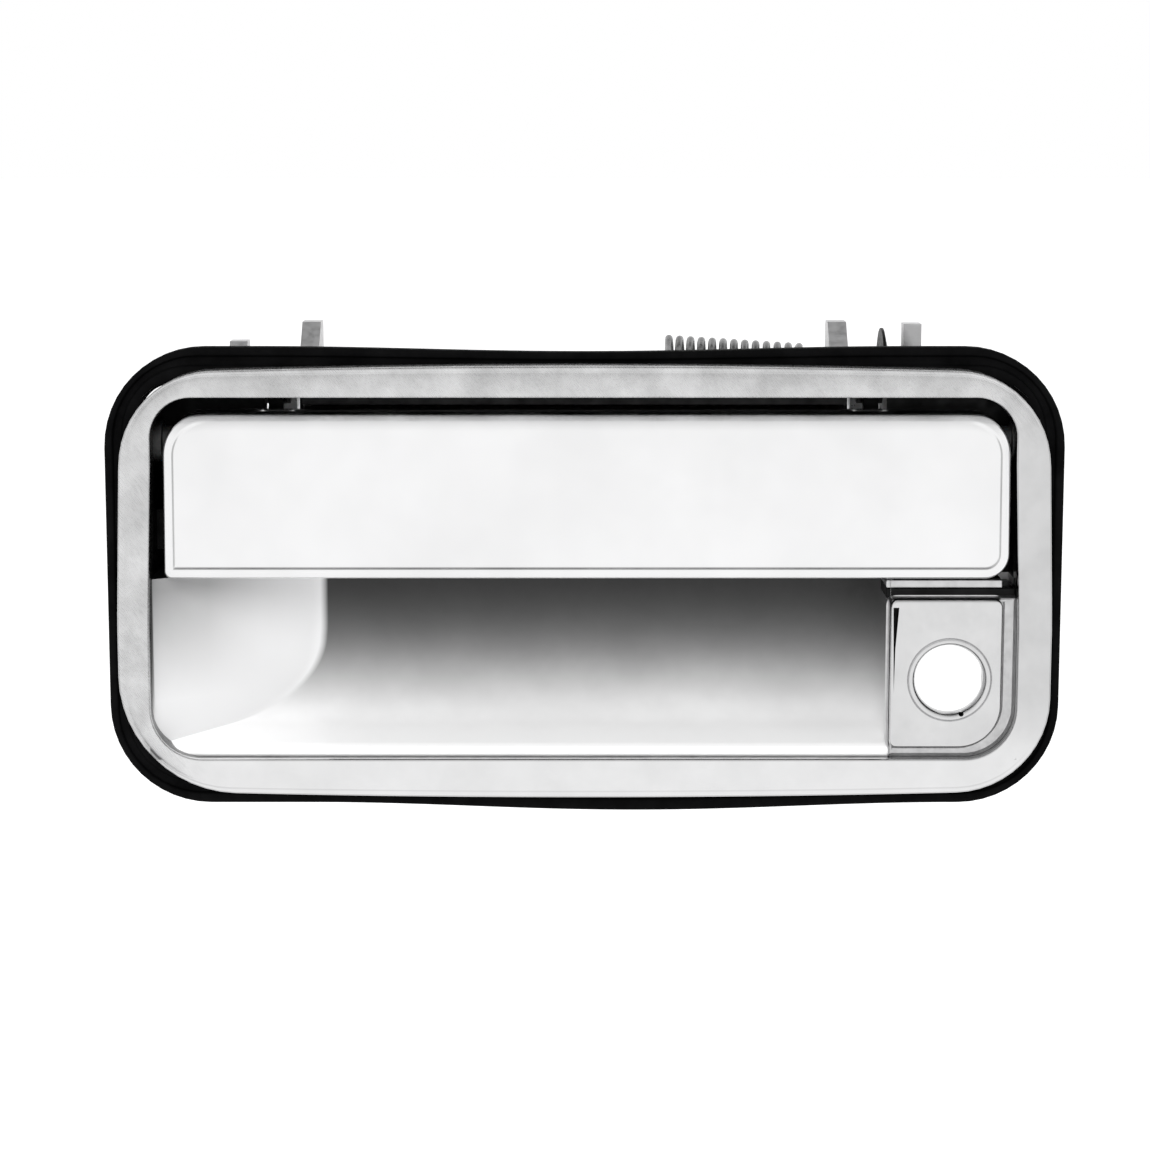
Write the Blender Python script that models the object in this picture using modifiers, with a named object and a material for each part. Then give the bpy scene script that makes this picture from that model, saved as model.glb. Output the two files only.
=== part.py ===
"""Flush-mounted car door handle with a pull paddle, a finger pocket and a lock bore.

The row frame is X to the right, Y into the door and Z up, seen from outside the car.
The origin is the centre of the gasket, on the outer face of the door skin, so the
paddle and the chromed frame are at negative Y and the mechanism is at positive Y.
"""

import math

import bmesh
import bpy
from mathutils import Matrix, Vector

MM = 0.001
CLEAR = 0.3 * MM           # gap between pieces that would touch
OVERRUN = 5 * MM           # how far a cutter runs past the surface that it opens
SMALL_CORNER = 0.5 * MM    # corners that are nearly square

# Chromed frame
FRAME_HALF_WIDTH = 92.7 * MM
FRAME_HALF_HEIGHT = 41.6 * MM
FRAME_CROWN = 1.5 * MM
FRAME_CORNER = 18.4 * MM
FRAME_FRONT = -10.3 * MM
FRAME_ROUND = 3.2 * MM
BAND_LEFT = 6.7 * MM
BAND_RIGHT = 7.2 * MM
BAND_TOP = 4.7 * MM
BAND_BOTTOM = 6.6 * MM
OPENING_CORNER = 10 * MM

# Rubber gasket
GASKET_THICKNESS = 3 * MM
GASKET_MARGIN_SIDE = 2.4 * MM
GASKET_MARGIN_TOP = 4.7 * MM
GASKET_MARGIN_BOTTOM = 4.0 * MM
GASKET_CORNER = 20 * MM
GASKET_SAG_TOP = 1.0 * MM
GASKET_SAG_BOTTOM = 1.6 * MM

# Die-cast body behind the frame
WALL = 2 * MM
HOLLOW_CORNER = 5.5 * MM
POCKET_BACK = 16.5 * MM
POCKET_LIP_STEP = 1.8 * MM
POCKET_LIP_Y = -7 * MM
POCKET_FLOOR_SLOPE = math.radians(13)
POCKET_FILLET = 17 * MM
POCKET_END_SLOPE = math.radians(54)
POCKET_END_TOP = 0.4 * MM
RECESS_BACK = 5 * MM
TROUGH_GAP = 0.8 * MM

# Lock boss
BOSS_WIDTH = 22.3 * MM
BOSS_HEIGHT = 29.8 * MM
BOSS_FRONT = -9 * MM
BOSS_CHANNEL_SIDE = 2.8 * MM
BOSS_CHANNEL_BOTTOM = 2.0 * MM
BOSS_CHANNEL_DEPTH = 2.6 * MM
BOSS_CORNER = 1.5 * MM
BOSS_OUTER_CORNER = 8.5 * MM
BOSS_PLATE = 2.5 * MM
LEDGE_FRONT = -6.2 * MM
LEDGE_HEIGHT = 1.6 * MM
LEDGE_ABOVE_BOSS = 2 * MM
LOCK_BORE = 6.7 * MM
LOCK_BORE_CHAMFER = 1.1 * MM
LOCK_BORE_FROM_BOSS_LEFT = 11.9 * MM
LOCK_BORE_FROM_BOSS_TOP = 16.0 * MM

# Pull paddle and its hinge
PADDLE_FACE = -7.9 * MM
NOSE_RADIUS = 6.4 * MM
NOSE_GAP = 2.9 * MM
PADDLE_GAP_LEFT = 3.0 * MM
PADDLE_GAP_RIGHT = 1.6 * MM
PADDLE_HEIGHT = 33 * MM
PADDLE_SKIN = 2.2 * MM
PADDLE_LEAN = 1 * MM
PADDLE_DEPTH = 12.2 * MM
PADDLE_LIP_DEPTH = 8.3 * MM
PADDLE_TOP_CORNER = 8.7 * MM
PADDLE_LEFT_CORNER = 1.6 * MM
PADDLE_RIGHT_CORNER = 5 * MM
PADDLE_EDGE = 1.2 * MM
HINGE_PIN_RADIUS = 1.7 * MM
HINGE_PIN_GRIP = 8.5 * MM
BUSHING_WALL = 1 * MM
BUSHING_FLANGE = 1 * MM
STOP_PAD = 6 * MM
STOP_PAD_HEIGHT = 8 * MM
BUMPER_RADIUS = 3 * MM
BUMPER_STEM = 1.2 * MM
BUMPER_STEM_LENGTH = 1.8 * MM
BUMPER_INSET = 7 * MM
BUMPER_RISE = 8 * MM

# Transfer lever on its shaft behind the door skin
COIL_BEHIND_BODY = 0.9 * MM
SHAFT_ABOVE_BODY = 0.7 * MM
SHAFT_RADIUS = 2.2 * MM
SHAFT_HEAD_STEP = 1.3 * MM
SHAFT_HEAD = 1.5 * MM
HUB_WALL = 2.1 * MM
ARM_WIDTH = 5 * MM
ARM_REACH = 0.58           # share of the distance between the hinge and the shaft
ARM_HALF = 2 * MM
ARM_LEAD = math.radians(11.3)
FINGER_LEAD = math.radians(29.2)
SHOE_HALF = 1.9 * MM
SHOE_WALL = 0.8 * MM
SHOE_LENGTH = 7 * MM
SHOE_WIDTH = 5.2 * MM
WINDOW_GAP = 0.8 * MM
CHEEK_DROP = 12 * MM
BAIL_BEHIND_COIL = 1.25 * MM
BAIL_INSET = 0.5 * MM
ARM_INSET = 0.2 * MM
BAIL_THICKNESS = 2 * MM
BAIL_DROP = 3.6 * MM
BAIL_RISE = 1.9 * MM
ROD_ARM_X = -42 * MM
ROD_ARM_THICKNESS = 2.5 * MM
ROD_BEHIND_SHAFT = 13.5 * MM
ROD_BELOW_SHAFT = 12.6 * MM
ROD_HOLE = 2.6 * MM
ROD_ARM_EYE = 4.8 * MM
LUG_LEFT = -55.85 * MM
LUG_RIGHT = 51.75 * MM
LUG_THICKNESS = 3.8 * MM
LUG_RISE = 9.8 * MM
LUG_BACK = 4.2 * MM
PUSH_NUT_BRIM = 6.2 * MM
PUSH_NUT_SHEET = 0.6 * MM
PUSH_NUT_DISH = 1 * MM

# Return spring
COIL_LEFT = 17.4 * MM
COIL_RIGHT = 44.2 * MM
COIL_TURNS = 12
COIL_SLACK = 1.5 * MM
COIL_WIRE = 0.7 * MM
COIL_TILT = 1.15 * MM
COIL_POINTS_PER_TURN = 12

# Locating tabs and mounting studs
TAB_LEFT = -70.5 * MM
TAB_RIGHT = 66.9 * MM
TAB_THICKNESS = 3.6 * MM
TAB_LEFT_RISE = 6.8 * MM
TAB_RIGHT_RISE = 10.3 * MM
TAB_BEHIND_BODY = 5.5 * MM
TAB_DEPTH = 5 * MM
STUD_FROM_LEFT = 9 * MM
STUD_FROM_RIGHT = 11.5 * MM
STUD_FROM_TOP = 19 * MM
STUD_RADIUS = 2.9 * MM
STUD_REACH = 17.5 * MM
STUD_BOSS_RADIUS = 7 * MM
STUD_BOSS_RISE = 4.5 * MM
NUT_STANDOFF = 4 * MM
NUT_HEIGHT = 5 * MM
NUT_ACROSS_FLATS = 10 * MM
NUT_FLANGE_RADIUS = 6.5 * MM
NUT_FLANGE = 1.4 * MM

# Positions that follow from the sizes above
OPENING_LEFT = -FRAME_HALF_WIDTH + BAND_LEFT
OPENING_RIGHT = FRAME_HALF_WIDTH - BAND_RIGHT
OPENING_TOP = FRAME_HALF_HEIGHT - BAND_TOP
OPENING_BOTTOM = -FRAME_HALF_HEIGHT + BAND_BOTTOM
FRAME_BACK = -GASKET_THICKNESS - CLEAR
BODY_LEFT = OPENING_LEFT - WALL
BODY_RIGHT = OPENING_RIGHT + WALL
BODY_TOP = OPENING_TOP + WALL
BODY_BOTTOM = OPENING_BOTTOM - WALL
BOSS_RIGHT = OPENING_RIGHT - BOSS_CHANNEL_SIDE
BOSS_LEFT = BOSS_RIGHT - BOSS_WIDTH
BOSS_BOTTOM = OPENING_BOTTOM + BOSS_CHANNEL_BOTTOM
BOSS_TOP = BOSS_BOTTOM + BOSS_HEIGHT
LOCK_X = BOSS_LEFT + LOCK_BORE_FROM_BOSS_LEFT
LOCK_Z = BOSS_TOP - LOCK_BORE_FROM_BOSS_TOP
PADDLE_LEFT = OPENING_LEFT + PADDLE_GAP_LEFT
PADDLE_RIGHT = OPENING_RIGHT - PADDLE_GAP_RIGHT
PADDLE_TOP = OPENING_TOP - NOSE_GAP
PADDLE_BOTTOM = PADDLE_TOP - PADDLE_HEIGHT
HINGE_Z = PADDLE_TOP - NOSE_RADIUS
HINGE_Y = PADDLE_FACE + NOSE_RADIUS
PADDLE_BACK = PADDLE_FACE - PADDLE_LEAN + PADDLE_DEPTH
BUSHING_BORE = HINGE_PIN_RADIUS + CLEAR
BUSHING_RADIUS = BUSHING_BORE + BUSHING_WALL
PADDLE_BORE = BUSHING_RADIUS + CLEAR
FINGER_LEFT = LUG_LEFT - LUG_THICKNESS / 2 - 1.1 * MM - ARM_WIDTH / 2
FINGER_RIGHT = LUG_RIGHT + LUG_THICKNESS / 2 + 0.8 * MM + ARM_WIDTH / 2
SHAFT_BUSHING_BORE = SHAFT_RADIUS + CLEAR
SHAFT_BUSHING_RADIUS = SHAFT_BUSHING_BORE + BUSHING_WALL
LUG_BORE = SHAFT_BUSHING_RADIUS + CLEAR
BUMPER_Z = PADDLE_BOTTOM + BUMPER_RISE
BODY_DEEP = POCKET_BACK + WALL
BODY_SHALLOW = RECESS_BACK + WALL
COIL_RADIUS = SHAFT_RADIUS + COIL_WIRE + COIL_SLACK
SHAFT_BEHIND_BODY = COIL_RADIUS + COIL_WIRE + COIL_BEHIND_BODY
SHAFT_Y = BODY_DEEP + SHAFT_BEHIND_BODY
SHAFT_Z = BODY_TOP + SHAFT_ABOVE_BODY
CENTRE_LINE = math.atan2(SHAFT_Z - HINGE_Z, SHAFT_Y - HINGE_Y)
CENTRE_DISTANCE = math.hypot(SHAFT_Z - HINGE_Z, SHAFT_Y - HINGE_Y)
ARM_LENGTH = ARM_REACH * CENTRE_DISTANCE
ARM_ANGLE = math.pi + CENTRE_LINE - ARM_LEAD
FINGER_LENGTH = ARM_REACH * CENTRE_DISTANCE
FINGER_ANGLE = CENTRE_LINE + FINGER_LEAD
HUB_RADIUS = SHAFT_RADIUS + CLEAR + HUB_WALL
SHAFT_HEAD_RADIUS = SHAFT_RADIUS + SHAFT_HEAD_STEP
PUSH_NUT_RADIUS = SHAFT_RADIUS + PUSH_NUT_BRIM
BAIL_Y = SHAFT_Y + COIL_RADIUS + COIL_WIRE + COIL_TILT + BAIL_BEHIND_COIL
BAIL_LOW = SHAFT_Z - BAIL_DROP
BAIL_HIGH = SHAFT_Z + BAIL_RISE
ROD_Y = SHAFT_Y + ROD_BEHIND_SHAFT
ROD_Z = SHAFT_Z - ROD_BELOW_SHAFT
TAB_BACK = BODY_DEEP + TAB_BEHIND_BODY
TAB_FRONT = TAB_BACK - TAB_DEPTH
STUD_BOSS_FACE = BODY_DEEP + STUD_BOSS_RISE
STUD_END = STUD_BOSS_FACE + STUD_REACH
STUD_DEPTH = STUD_BOSS_RISE + WALL / 2

AXIS_FRAMES = {
    "X": Matrix(((0, 0, 1), (1, 0, 0), (0, 1, 0))).to_4x4(),
    "Y": Matrix(((1, 0, 0), (0, 0, -1), (0, 1, 0))).to_4x4(),
}


def clear_scene():
    for thing in list(bpy.data.objects):
        bpy.data.objects.remove(thing, do_unlink=True)


def new_collection(name):
    made = bpy.data.collections.new(name)
    bpy.context.scene.collection.children.link(made)
    return made


clear_scene()
PARTS = new_collection("car_door_handle")
CUTTERS = new_collection("cutters")


def material(name, colour, roughness, metallic):
    made = bpy.data.materials.new(name)
    made.use_nodes = True
    shader = made.node_tree.nodes["Principled BSDF"]
    shader.inputs["Base Color"].default_value = (*colour, 1)
    shader.inputs["Roughness"].default_value = roughness
    shader.inputs["Metallic"].default_value = metallic
    return made


CHROME = material("chrome", (0.86, 0.87, 0.88), 0.08, 1)
RUBBER = material("black_rubber", (0.012, 0.012, 0.013), 0.7, 0)
STEEL = material("zinc_plated_steel", (0.62, 0.63, 0.64), 0.35, 1)
NYLON = material("nylon", (0.75, 0.74, 0.7), 0.5, 0)
BLACK_STEEL = material("black_spring_steel", (0.03, 0.03, 0.032), 0.4, 1)


# Shapes

def finish_mesh(name, shell, matrix):
    """Turn a bmesh into an object in the parts collection, with round faces smooth."""
    bmesh.ops.recalc_face_normals(shell, faces=shell.faces)
    mesh = bpy.data.meshes.new(name)
    shell.to_mesh(mesh)
    shell.free()
    mesh.shade_smooth()
    mesh.set_sharp_from_angle(angle=math.radians(35))
    made = bpy.data.objects.new(name, mesh)
    made.matrix_world = matrix
    PARTS.objects.link(made)
    return made


def prism(name, outline, low, high, axis, round_low=0, hole=None):
    """Extrude a flat outline along an axis: (Y, Z) points for X, (X, Z) points for Y."""
    curve = bpy.data.curves.new(name, "CURVE")
    curve.dimensions = "2D"
    curve.fill_mode = "BOTH"
    curve.extrude = (high - low) / 2
    for loop in (outline, hole or []):
        if not loop:
            continue
        spline = curve.splines.new("POLY")
        spline.points.add(len(loop) - 1)
        for point, (across, up) in zip(spline.points, loop):
            point.co = (across, up, 0, 1)
        spline.use_cyclic_u = True
    matrix = AXIS_FRAMES[axis].copy()
    matrix["XY".index(axis)][3] = (low + high) / 2
    shell = curve_shell(curve)
    bmesh.ops.dissolve_limit(shell, angle_limit=math.radians(0.5),
                             verts=shell.verts, edges=shell.edges)
    if round_low:
        round_front_edge(shell, (high - low) / 2, axis, round_low)
    return finish_mesh(name, shell, matrix)


def curve_shell(curve):
    """A curve's solid as a bmesh in the curve's own space, with its caps welded on."""
    guide = bpy.data.objects.new(curve.name, curve)
    bpy.context.scene.collection.objects.link(guide)
    solid = bpy.data.meshes.new_from_object(
        guide.evaluated_get(bpy.context.evaluated_depsgraph_get()))
    bpy.data.objects.remove(guide, do_unlink=True)
    bpy.data.curves.remove(curve)
    shell = bmesh.new()
    shell.from_mesh(solid)
    bpy.data.meshes.remove(solid)
    bmesh.ops.remove_doubles(shell, verts=shell.verts, dist=0.001 * MM)
    return shell


def round_front_edge(shell, half, axis, radius):
    """Round the rim of the face at the low end of the extrusion."""
    front = -half if axis == "X" else half
    rim = []
    for edge in shell.edges:
        at_front = all(abs(corner.co.z - front) < 0.01 * MM for corner in edge.verts)
        if at_front and edge.calc_face_angle(0) > math.radians(60):
            rim.append(edge)
    bmesh.ops.bevel(shell, geom=rim, offset=radius, segments=3, profile=0.5,
                    affect="EDGES")


def block(name, low, high):
    low, high = Vector(low), Vector(high)
    shell = bmesh.new()
    bmesh.ops.create_cube(shell, size=1)
    size = high - low
    bmesh.ops.scale(shell, vec=size, verts=shell.verts)
    return finish_mesh(name, shell, Matrix.Translation((low + high) / 2))


def rod(name, radius, start, length, axis, segments=24):
    """A solid cylinder that runs from start along the axis."""
    shell = bmesh.new()
    bmesh.ops.create_cone(shell, cap_ends=True, segments=segments, radius1=radius,
                          radius2=radius, depth=length)
    direction = {"X": Vector((1, 0, 0)), "Y": Vector((0, 1, 0))}[axis]
    turn = Vector((0, 0, 1)).rotation_difference(direction).to_matrix().to_4x4()
    middle = Vector(start) + direction * (length / 2)
    return finish_mesh(name, shell, Matrix.Translation(middle) @ turn)


def turned(name, profile, origin, direction, hollow, steps=24):
    """Turn a (radius, height) profile about a line through origin.

    The profile runs down its outer side; a hollow one closes up its bore.
    """
    mesh = bpy.data.meshes.new(name)
    count = len(profile)
    edges = [(index, index + 1) for index in range(count - 1)]
    if hollow:
        edges.append((count - 1, 0))
    mesh.from_pydata([(radius, 0, height) for radius, height in profile], edges, [])
    made = bpy.data.objects.new(name, mesh)
    turn = Vector((0, 0, 1)).rotation_difference(Vector(direction)).to_matrix().to_4x4()
    made.matrix_world = Matrix.Translation(origin) @ turn
    PARTS.objects.link(made)
    screw = made.modifiers.new("turn", "SCREW")
    screw.steps = steps
    screw.render_steps = steps
    screw.use_merge_vertices = True
    screw.merge_threshold = 0.001 * MM
    screw.use_smooth_shade = True
    return made


def arc(centre, radius, start, end, segments):
    """Points on an arc, angles in degrees, both ends included."""
    points = []
    for index in range(segments + 1):
        angle = math.radians(start + (end - start) * index / segments)
        points.append((centre[0] + radius * math.cos(angle),
                       centre[1] + radius * math.sin(angle)))
    return points


def rounded(left, right, bottom, top, corners, segments=6, rise=None, divisions=1):
    """A rounded rectangle. corners go bottom left, bottom right, top right, top left.

    rise(x, side) moves the long edges, side being -1 at the bottom and 1 at the top.
    """
    low_left, low_right, high_right, high_left = corners
    points = arc((left + low_left, bottom + low_left), low_left, 180, 270, segments)
    points += steps_between(left + low_left, right - low_right, bottom, divisions)
    points += arc((right - low_right, bottom + low_right), low_right, 270, 360, segments)
    points += arc((right - high_right, top - high_right), high_right, 0, 90, segments)
    points += steps_between(right - high_right, left + high_left, top, divisions)
    points += arc((left + high_left, top - high_left), high_left, 90, 180, segments)
    if rise is None:
        return points
    middle = (bottom + top) / 2
    return [(x, z + rise(x, math.copysign(1, z - middle))) for x, z in points]


def steps_between(start, end, height, divisions):
    """The inner points of a straight edge."""
    return [(start + (end - start) * index / divisions, height)
            for index in range(1, divisions)]


def stadium(centre, angle, length, half, segments=8):
    """A bar with one round end, from centre outwards at the angle."""
    turn = math.degrees(angle)
    tip = (centre[0] + (length - half) * math.cos(angle),
           centre[1] + (length - half) * math.sin(angle))
    points = arc(tip, half, turn - 90, turn + 90, segments)
    points.append((centre[0] - half * math.sin(angle), centre[1] + half * math.cos(angle)))
    points.append((centre[0] + half * math.sin(angle), centre[1] - half * math.cos(angle)))
    return points


def combine(target, tool, operation):
    """Apply a tool to a target as a live Boolean, and put the tool with the cutters."""
    PARTS.objects.unlink(tool)
    CUTTERS.objects.link(tool)
    tool.hide_render = True
    tool.display_type = "WIRE"
    change = target.modifiers.new(tool.name, "BOOLEAN")
    change.operation = operation
    change.object = tool


def join(target, *tools):
    for tool in tools:
        combine(target, tool, "UNION")


def cut(target, *tools):
    for tool in tools:
        combine(target, tool, "DIFFERENCE")


def paint(thing, look):
    thing.data.materials.clear()
    thing.data.materials.append(look)


# Outlines that several pieces share

def frame_rise(x, side):
    """How far the frame's long edges bow out at x."""
    reach = min(1, abs(x) / FRAME_HALF_WIDTH)
    return side * FRAME_CROWN * (1 - reach ** 2)


def gasket_rise(x, side):
    """How far the soft gasket hangs down at x."""
    span = 0.7 * FRAME_HALF_WIDTH
    if abs(x) > span:
        return 0
    sag = GASKET_SAG_TOP if side > 0 else GASKET_SAG_BOTTOM
    return -sag * math.cos(math.pi * x / (2 * span)) ** 2


def opening_outline():
    corners = (OPENING_CORNER,) * 4
    return rounded(OPENING_LEFT, OPENING_RIGHT, OPENING_BOTTOM, OPENING_TOP, corners)


def body_outline(margin=0):
    corners = (HOLLOW_CORNER + WALL + margin,) * 4
    return rounded(BODY_LEFT - margin, BODY_RIGHT + margin, BODY_BOTTOM - margin,
                   BODY_TOP + margin, corners)


def pocket_profile(offset):
    """The pocket in side view, (Y, Z): a sloping floor, a fillet and a plumb back wall.

    offset grows it outwards by a wall's thickness.
    """
    back = POCKET_BACK + offset
    radius = POCKET_FILLET + offset
    centre_y = POCKET_BACK - POCKET_FILLET
    lip = OPENING_BOTTOM + POCKET_LIP_STEP
    floor = lip + (centre_y - POCKET_LIP_Y) * math.tan(POCKET_FLOOR_SLOPE)
    centre_z = floor + POCKET_FILLET / math.cos(POCKET_FLOOR_SLOPE)
    start = math.degrees(POCKET_FLOOR_SLOPE) - 90
    fillet = arc((centre_y, centre_z), radius, start, 0, 8)
    front = FRAME_FRONT - OVERRUN if offset == 0 else FRAME_BACK - 1 * MM
    low_y, low_z = fillet[0]
    front_z = low_z - (low_y - front) * math.tan(POCKET_FLOOR_SLOPE)
    top = HINGE_Z if offset == 0 else OPENING_TOP - WALL
    return [(front, front_z), *fillet, (back, top), (front, top)]


# Pieces

def pocket_solid(name, offset):
    """The pocket as a solid, with its left end cut to the sloping end wall."""
    right = BOSS_LEFT if offset == 0 else BOSS_LEFT + WALL
    solid = prism(name, pocket_profile(offset), BODY_LEFT - OVERRUN, right, "X")
    slope = Vector((math.cos(POCKET_END_SLOPE), -math.sin(POCKET_END_SLOPE), 0))
    anchor = Vector((OPENING_LEFT, POCKET_LIP_Y, 0)) - slope * offset
    to_local = solid.matrix_world.inverted()
    shell = bmesh.new()
    shell.from_mesh(solid.data)
    bmesh.ops.bisect_plane(shell, geom=[*shell.verts, *shell.edges, *shell.faces],
                           plane_co=to_local @ anchor,
                           plane_no=to_local.to_3x3() @ slope, clear_inner=True)
    bmesh.ops.holes_fill(shell, edges=shell.edges)
    bmesh.ops.recalc_face_normals(shell, faces=shell.faces)
    shell.to_mesh(solid.data)
    shell.free()
    return solid


def frame_blank():
    corners = (FRAME_CORNER,) * 4
    outline = rounded(-FRAME_HALF_WIDTH, FRAME_HALF_WIDTH, -FRAME_HALF_HEIGHT,
                      FRAME_HALF_HEIGHT, corners, 8, frame_rise, 12)
    return prism("housing", outline, FRAME_FRONT, FRAME_BACK, "Y", FRAME_ROUND)


def trough():
    """The curved wall close behind the paddle's nose, between the two finger windows."""
    inner = NOSE_RADIUS + TROUGH_GAP
    outer = inner + WALL
    centre = (HINGE_Y, HINGE_Z)
    top = OPENING_TOP + WALL / 2
    profile = arc(centre, outer, 0, -15, 2) + arc(centre, inner, -15, 90, 10)
    profile += [(HINGE_Y, top), (HINGE_Y + outer, top)]
    return prism("trough", profile, LUG_LEFT, LUG_RIGHT, "X")


def lug(name, middle):
    """An upright ear on the back of the housing that carries the lever's shaft."""
    top = SHAFT_Z + LUG_RISE
    back = SHAFT_Y + LUG_BACK
    profile = [(BODY_DEEP - 9 * MM, BODY_TOP - WALL / 2), (SHAFT_Y - 4 * MM, top - 2 * MM),
               (SHAFT_Y - 2 * MM, top), (back - 1 * MM, top), (back, top - 1 * MM),
               (back, BODY_TOP - 6 * MM), (BODY_DEEP - WALL / 2, BODY_TOP - 14 * MM),
               (BODY_DEEP - WALL / 2, BODY_TOP - WALL / 2)]
    half = LUG_THICKNESS / 2
    return prism(name, profile, middle - half, middle + half, "X")


def locating_tab(name, middle, top):
    """A hook that stands up behind the door skin's edge."""
    profile = [(2.6 * MM, BODY_TOP - WALL / 2), (TAB_BACK, BODY_TOP - WALL / 2),
               (TAB_BACK, top), (TAB_FRONT, top),
               (TAB_FRONT, BODY_TOP + 3 * MM), (9 * MM, BODY_TOP + 0.8 * MM),
               (2.6 * MM, BODY_TOP + 0.8 * MM)]
    half = TAB_THICKNESS / 2
    return prism(name, profile, middle - half, middle + half, "X")


def lock_boss():
    """The raised pad around the lock bore, with its outer bottom corner rounded."""
    corners = (BOSS_CORNER, BOSS_OUTER_CORNER, BOSS_CORNER, BOSS_CORNER)
    outline = rounded(BOSS_LEFT, BOSS_RIGHT, BOSS_BOTTOM, BOSS_TOP, corners)
    return prism("lock_boss", outline, BOSS_FRONT, RECESS_BACK, "Y", 0.8 * MM)


def lock_bore():
    depth = BOSS_PLATE + 2 * OVERRUN
    chamfer = LOCK_BORE + LOCK_BORE_CHAMFER
    rim = OVERRUN
    profile = [(0, 0), (LOCK_BORE, 0), (LOCK_BORE, rim - LOCK_BORE_CHAMFER), (chamfer, rim),
               (chamfer, depth), (0, depth)]
    profile.reverse()
    origin = (LOCK_X, BOSS_FRONT + rim, LOCK_Z)
    return turned("lock_bore", profile, origin, (0, -1, 0), False, 40)


def finger_window(name, middle):
    """The slot through the top back corner where a paddle finger meets a lever arm."""
    half = max(ARM_WIDTH, SHOE_WIDTH) / 2 + WINDOW_GAP
    return block(name, (middle - half, 1.2 * MM, HINGE_Z - 4 * MM),
                 (middle + half, BODY_DEEP + OVERRUN, BODY_TOP + OVERRUN))


def push_nut_notch():
    """Room for the push nut's edge in the body's top back corner."""
    reach = PUSH_NUT_RADIUS + 2 * CLEAR
    overlap = SHAFT_BEHIND_BODY + WALL / 2
    drop = math.sqrt(max(reach ** 2 - SHAFT_BEHIND_BODY ** 2, 0))
    return block("push_nut_notch", (FINGER_RIGHT, SHAFT_Y - reach, SHAFT_Z - drop),
                 (push_nut_place() + 4 * MM, SHAFT_Y - overlap + OVERRUN,
                  BODY_TOP + OVERRUN))


def housing():
    """Chromed die casting: frame, pocket, lock boss, lugs, tabs and stud bosses."""
    body = frame_blank()
    join(body, prism("skirt", body_outline(), FRAME_BACK - 1 * MM, GASKET_THICKNESS, "Y"))
    cut(body, prism("opening", opening_outline(), FRAME_FRONT - OVERRUN, POCKET_LIP_Y, "Y"))
    small, large = SMALL_CORNER, HOLLOW_CORNER + WALL
    deep = rounded(BODY_LEFT, BOSS_LEFT + WALL, POCKET_END_TOP - WALL, BODY_TOP,
                   (small, small, small, large))
    shallow = rounded(BOSS_LEFT - WALL, BODY_RIGHT, BODY_BOTTOM, BODY_TOP,
                      (small, large, large, small))
    join(body, prism("deep_body", deep, 0, BODY_DEEP, "Y"),
         prism("shallow_body", shallow, 0, BODY_SHALLOW, "Y"),
         pocket_solid("pocket_body", WALL))
    cut_hollows(body)
    add_lock_boss(body)
    join(body, trough(), lug("lug_left", LUG_LEFT), lug("lug_right", LUG_RIGHT),
         locating_tab("tab_left", TAB_LEFT, BODY_TOP + TAB_LEFT_RISE),
         locating_tab("tab_right", TAB_RIGHT, BODY_TOP + TAB_RIGHT_RISE))
    add_bumper_seats(body)
    add_stud_bosses(body)
    cut(body, finger_window("window_left", FINGER_LEFT),
        finger_window("window_right", FINGER_RIGHT), push_nut_notch())
    bore_start = LUG_LEFT - LUG_THICKNESS
    cut(body, rod("lug_bore", LUG_BORE, (bore_start, SHAFT_Y, SHAFT_Z),
                  LUG_RIGHT + LUG_THICKNESS - bore_start, "X"),
        rod("pin_hole", BUSHING_BORE, (BODY_LEFT - OVERRUN, HINGE_Y, HINGE_Z),
            BODY_RIGHT - BODY_LEFT + 2 * OVERRUN, "X", 20))
    paint(body, CHROME)


def cut_hollows(body):
    """Open the space behind the paddle, the recess over the lock and the pocket."""
    small = SMALL_CORNER
    upper = rounded(OPENING_LEFT, BOSS_LEFT, POCKET_END_TOP, OPENING_TOP,
                    (small, small, small, HOLLOW_CORNER))
    recess = rounded(BOSS_LEFT - 1 * MM, OPENING_RIGHT, BOSS_TOP, OPENING_TOP,
                     (small, small, HOLLOW_CORNER, small))
    front = POCKET_LIP_Y - SMALL_CORNER
    cut(body, prism("upper_hollow", upper, front, POCKET_BACK, "Y"),
        prism("recess_hollow", recess, front, RECESS_BACK, "Y"),
        pocket_solid("pocket_hollow", 0))


def add_lock_boss(body):
    """Sink the channel, stand the boss and its ledge, and hollow the boss from behind."""
    small = SMALL_CORNER
    corners = (small, OPENING_CORNER, small, small)
    channel = rounded(BOSS_LEFT, OPENING_RIGHT, OPENING_BOTTOM, BOSS_TOP + 0.1 * MM, corners)
    cut(body, prism("lock_channel", channel, FRAME_FRONT - OVERRUN,
                    BOSS_FRONT + BOSS_CHANNEL_DEPTH, "Y"))
    low = BOSS_TOP + LEDGE_ABOVE_BOSS
    ledge = block("lock_ledge", (BOSS_LEFT, LEDGE_FRONT, low),
                  (BOSS_RIGHT, RECESS_BACK + WALL / 2, low + LEDGE_HEIGHT))
    join(body, lock_boss(), ledge)
    back_corners = (small, BOSS_OUTER_CORNER - WALL, small, small)
    hollow = rounded(BOSS_LEFT + WALL, BOSS_RIGHT - WALL, BOSS_BOTTOM + WALL,
                     BOSS_TOP - WALL, back_corners)
    cut(body, prism("lock_hollow", hollow, BOSS_FRONT + BOSS_PLATE, BODY_DEEP + OVERRUN, "Y"),
        lock_bore())


def bumper_spots():
    """Where the paddle's two stops meet the housing: name, X."""
    return (("left", PADDLE_LEFT + BUMPER_INSET), ("right", PADDLE_RIGHT - BUMPER_INSET))


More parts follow.
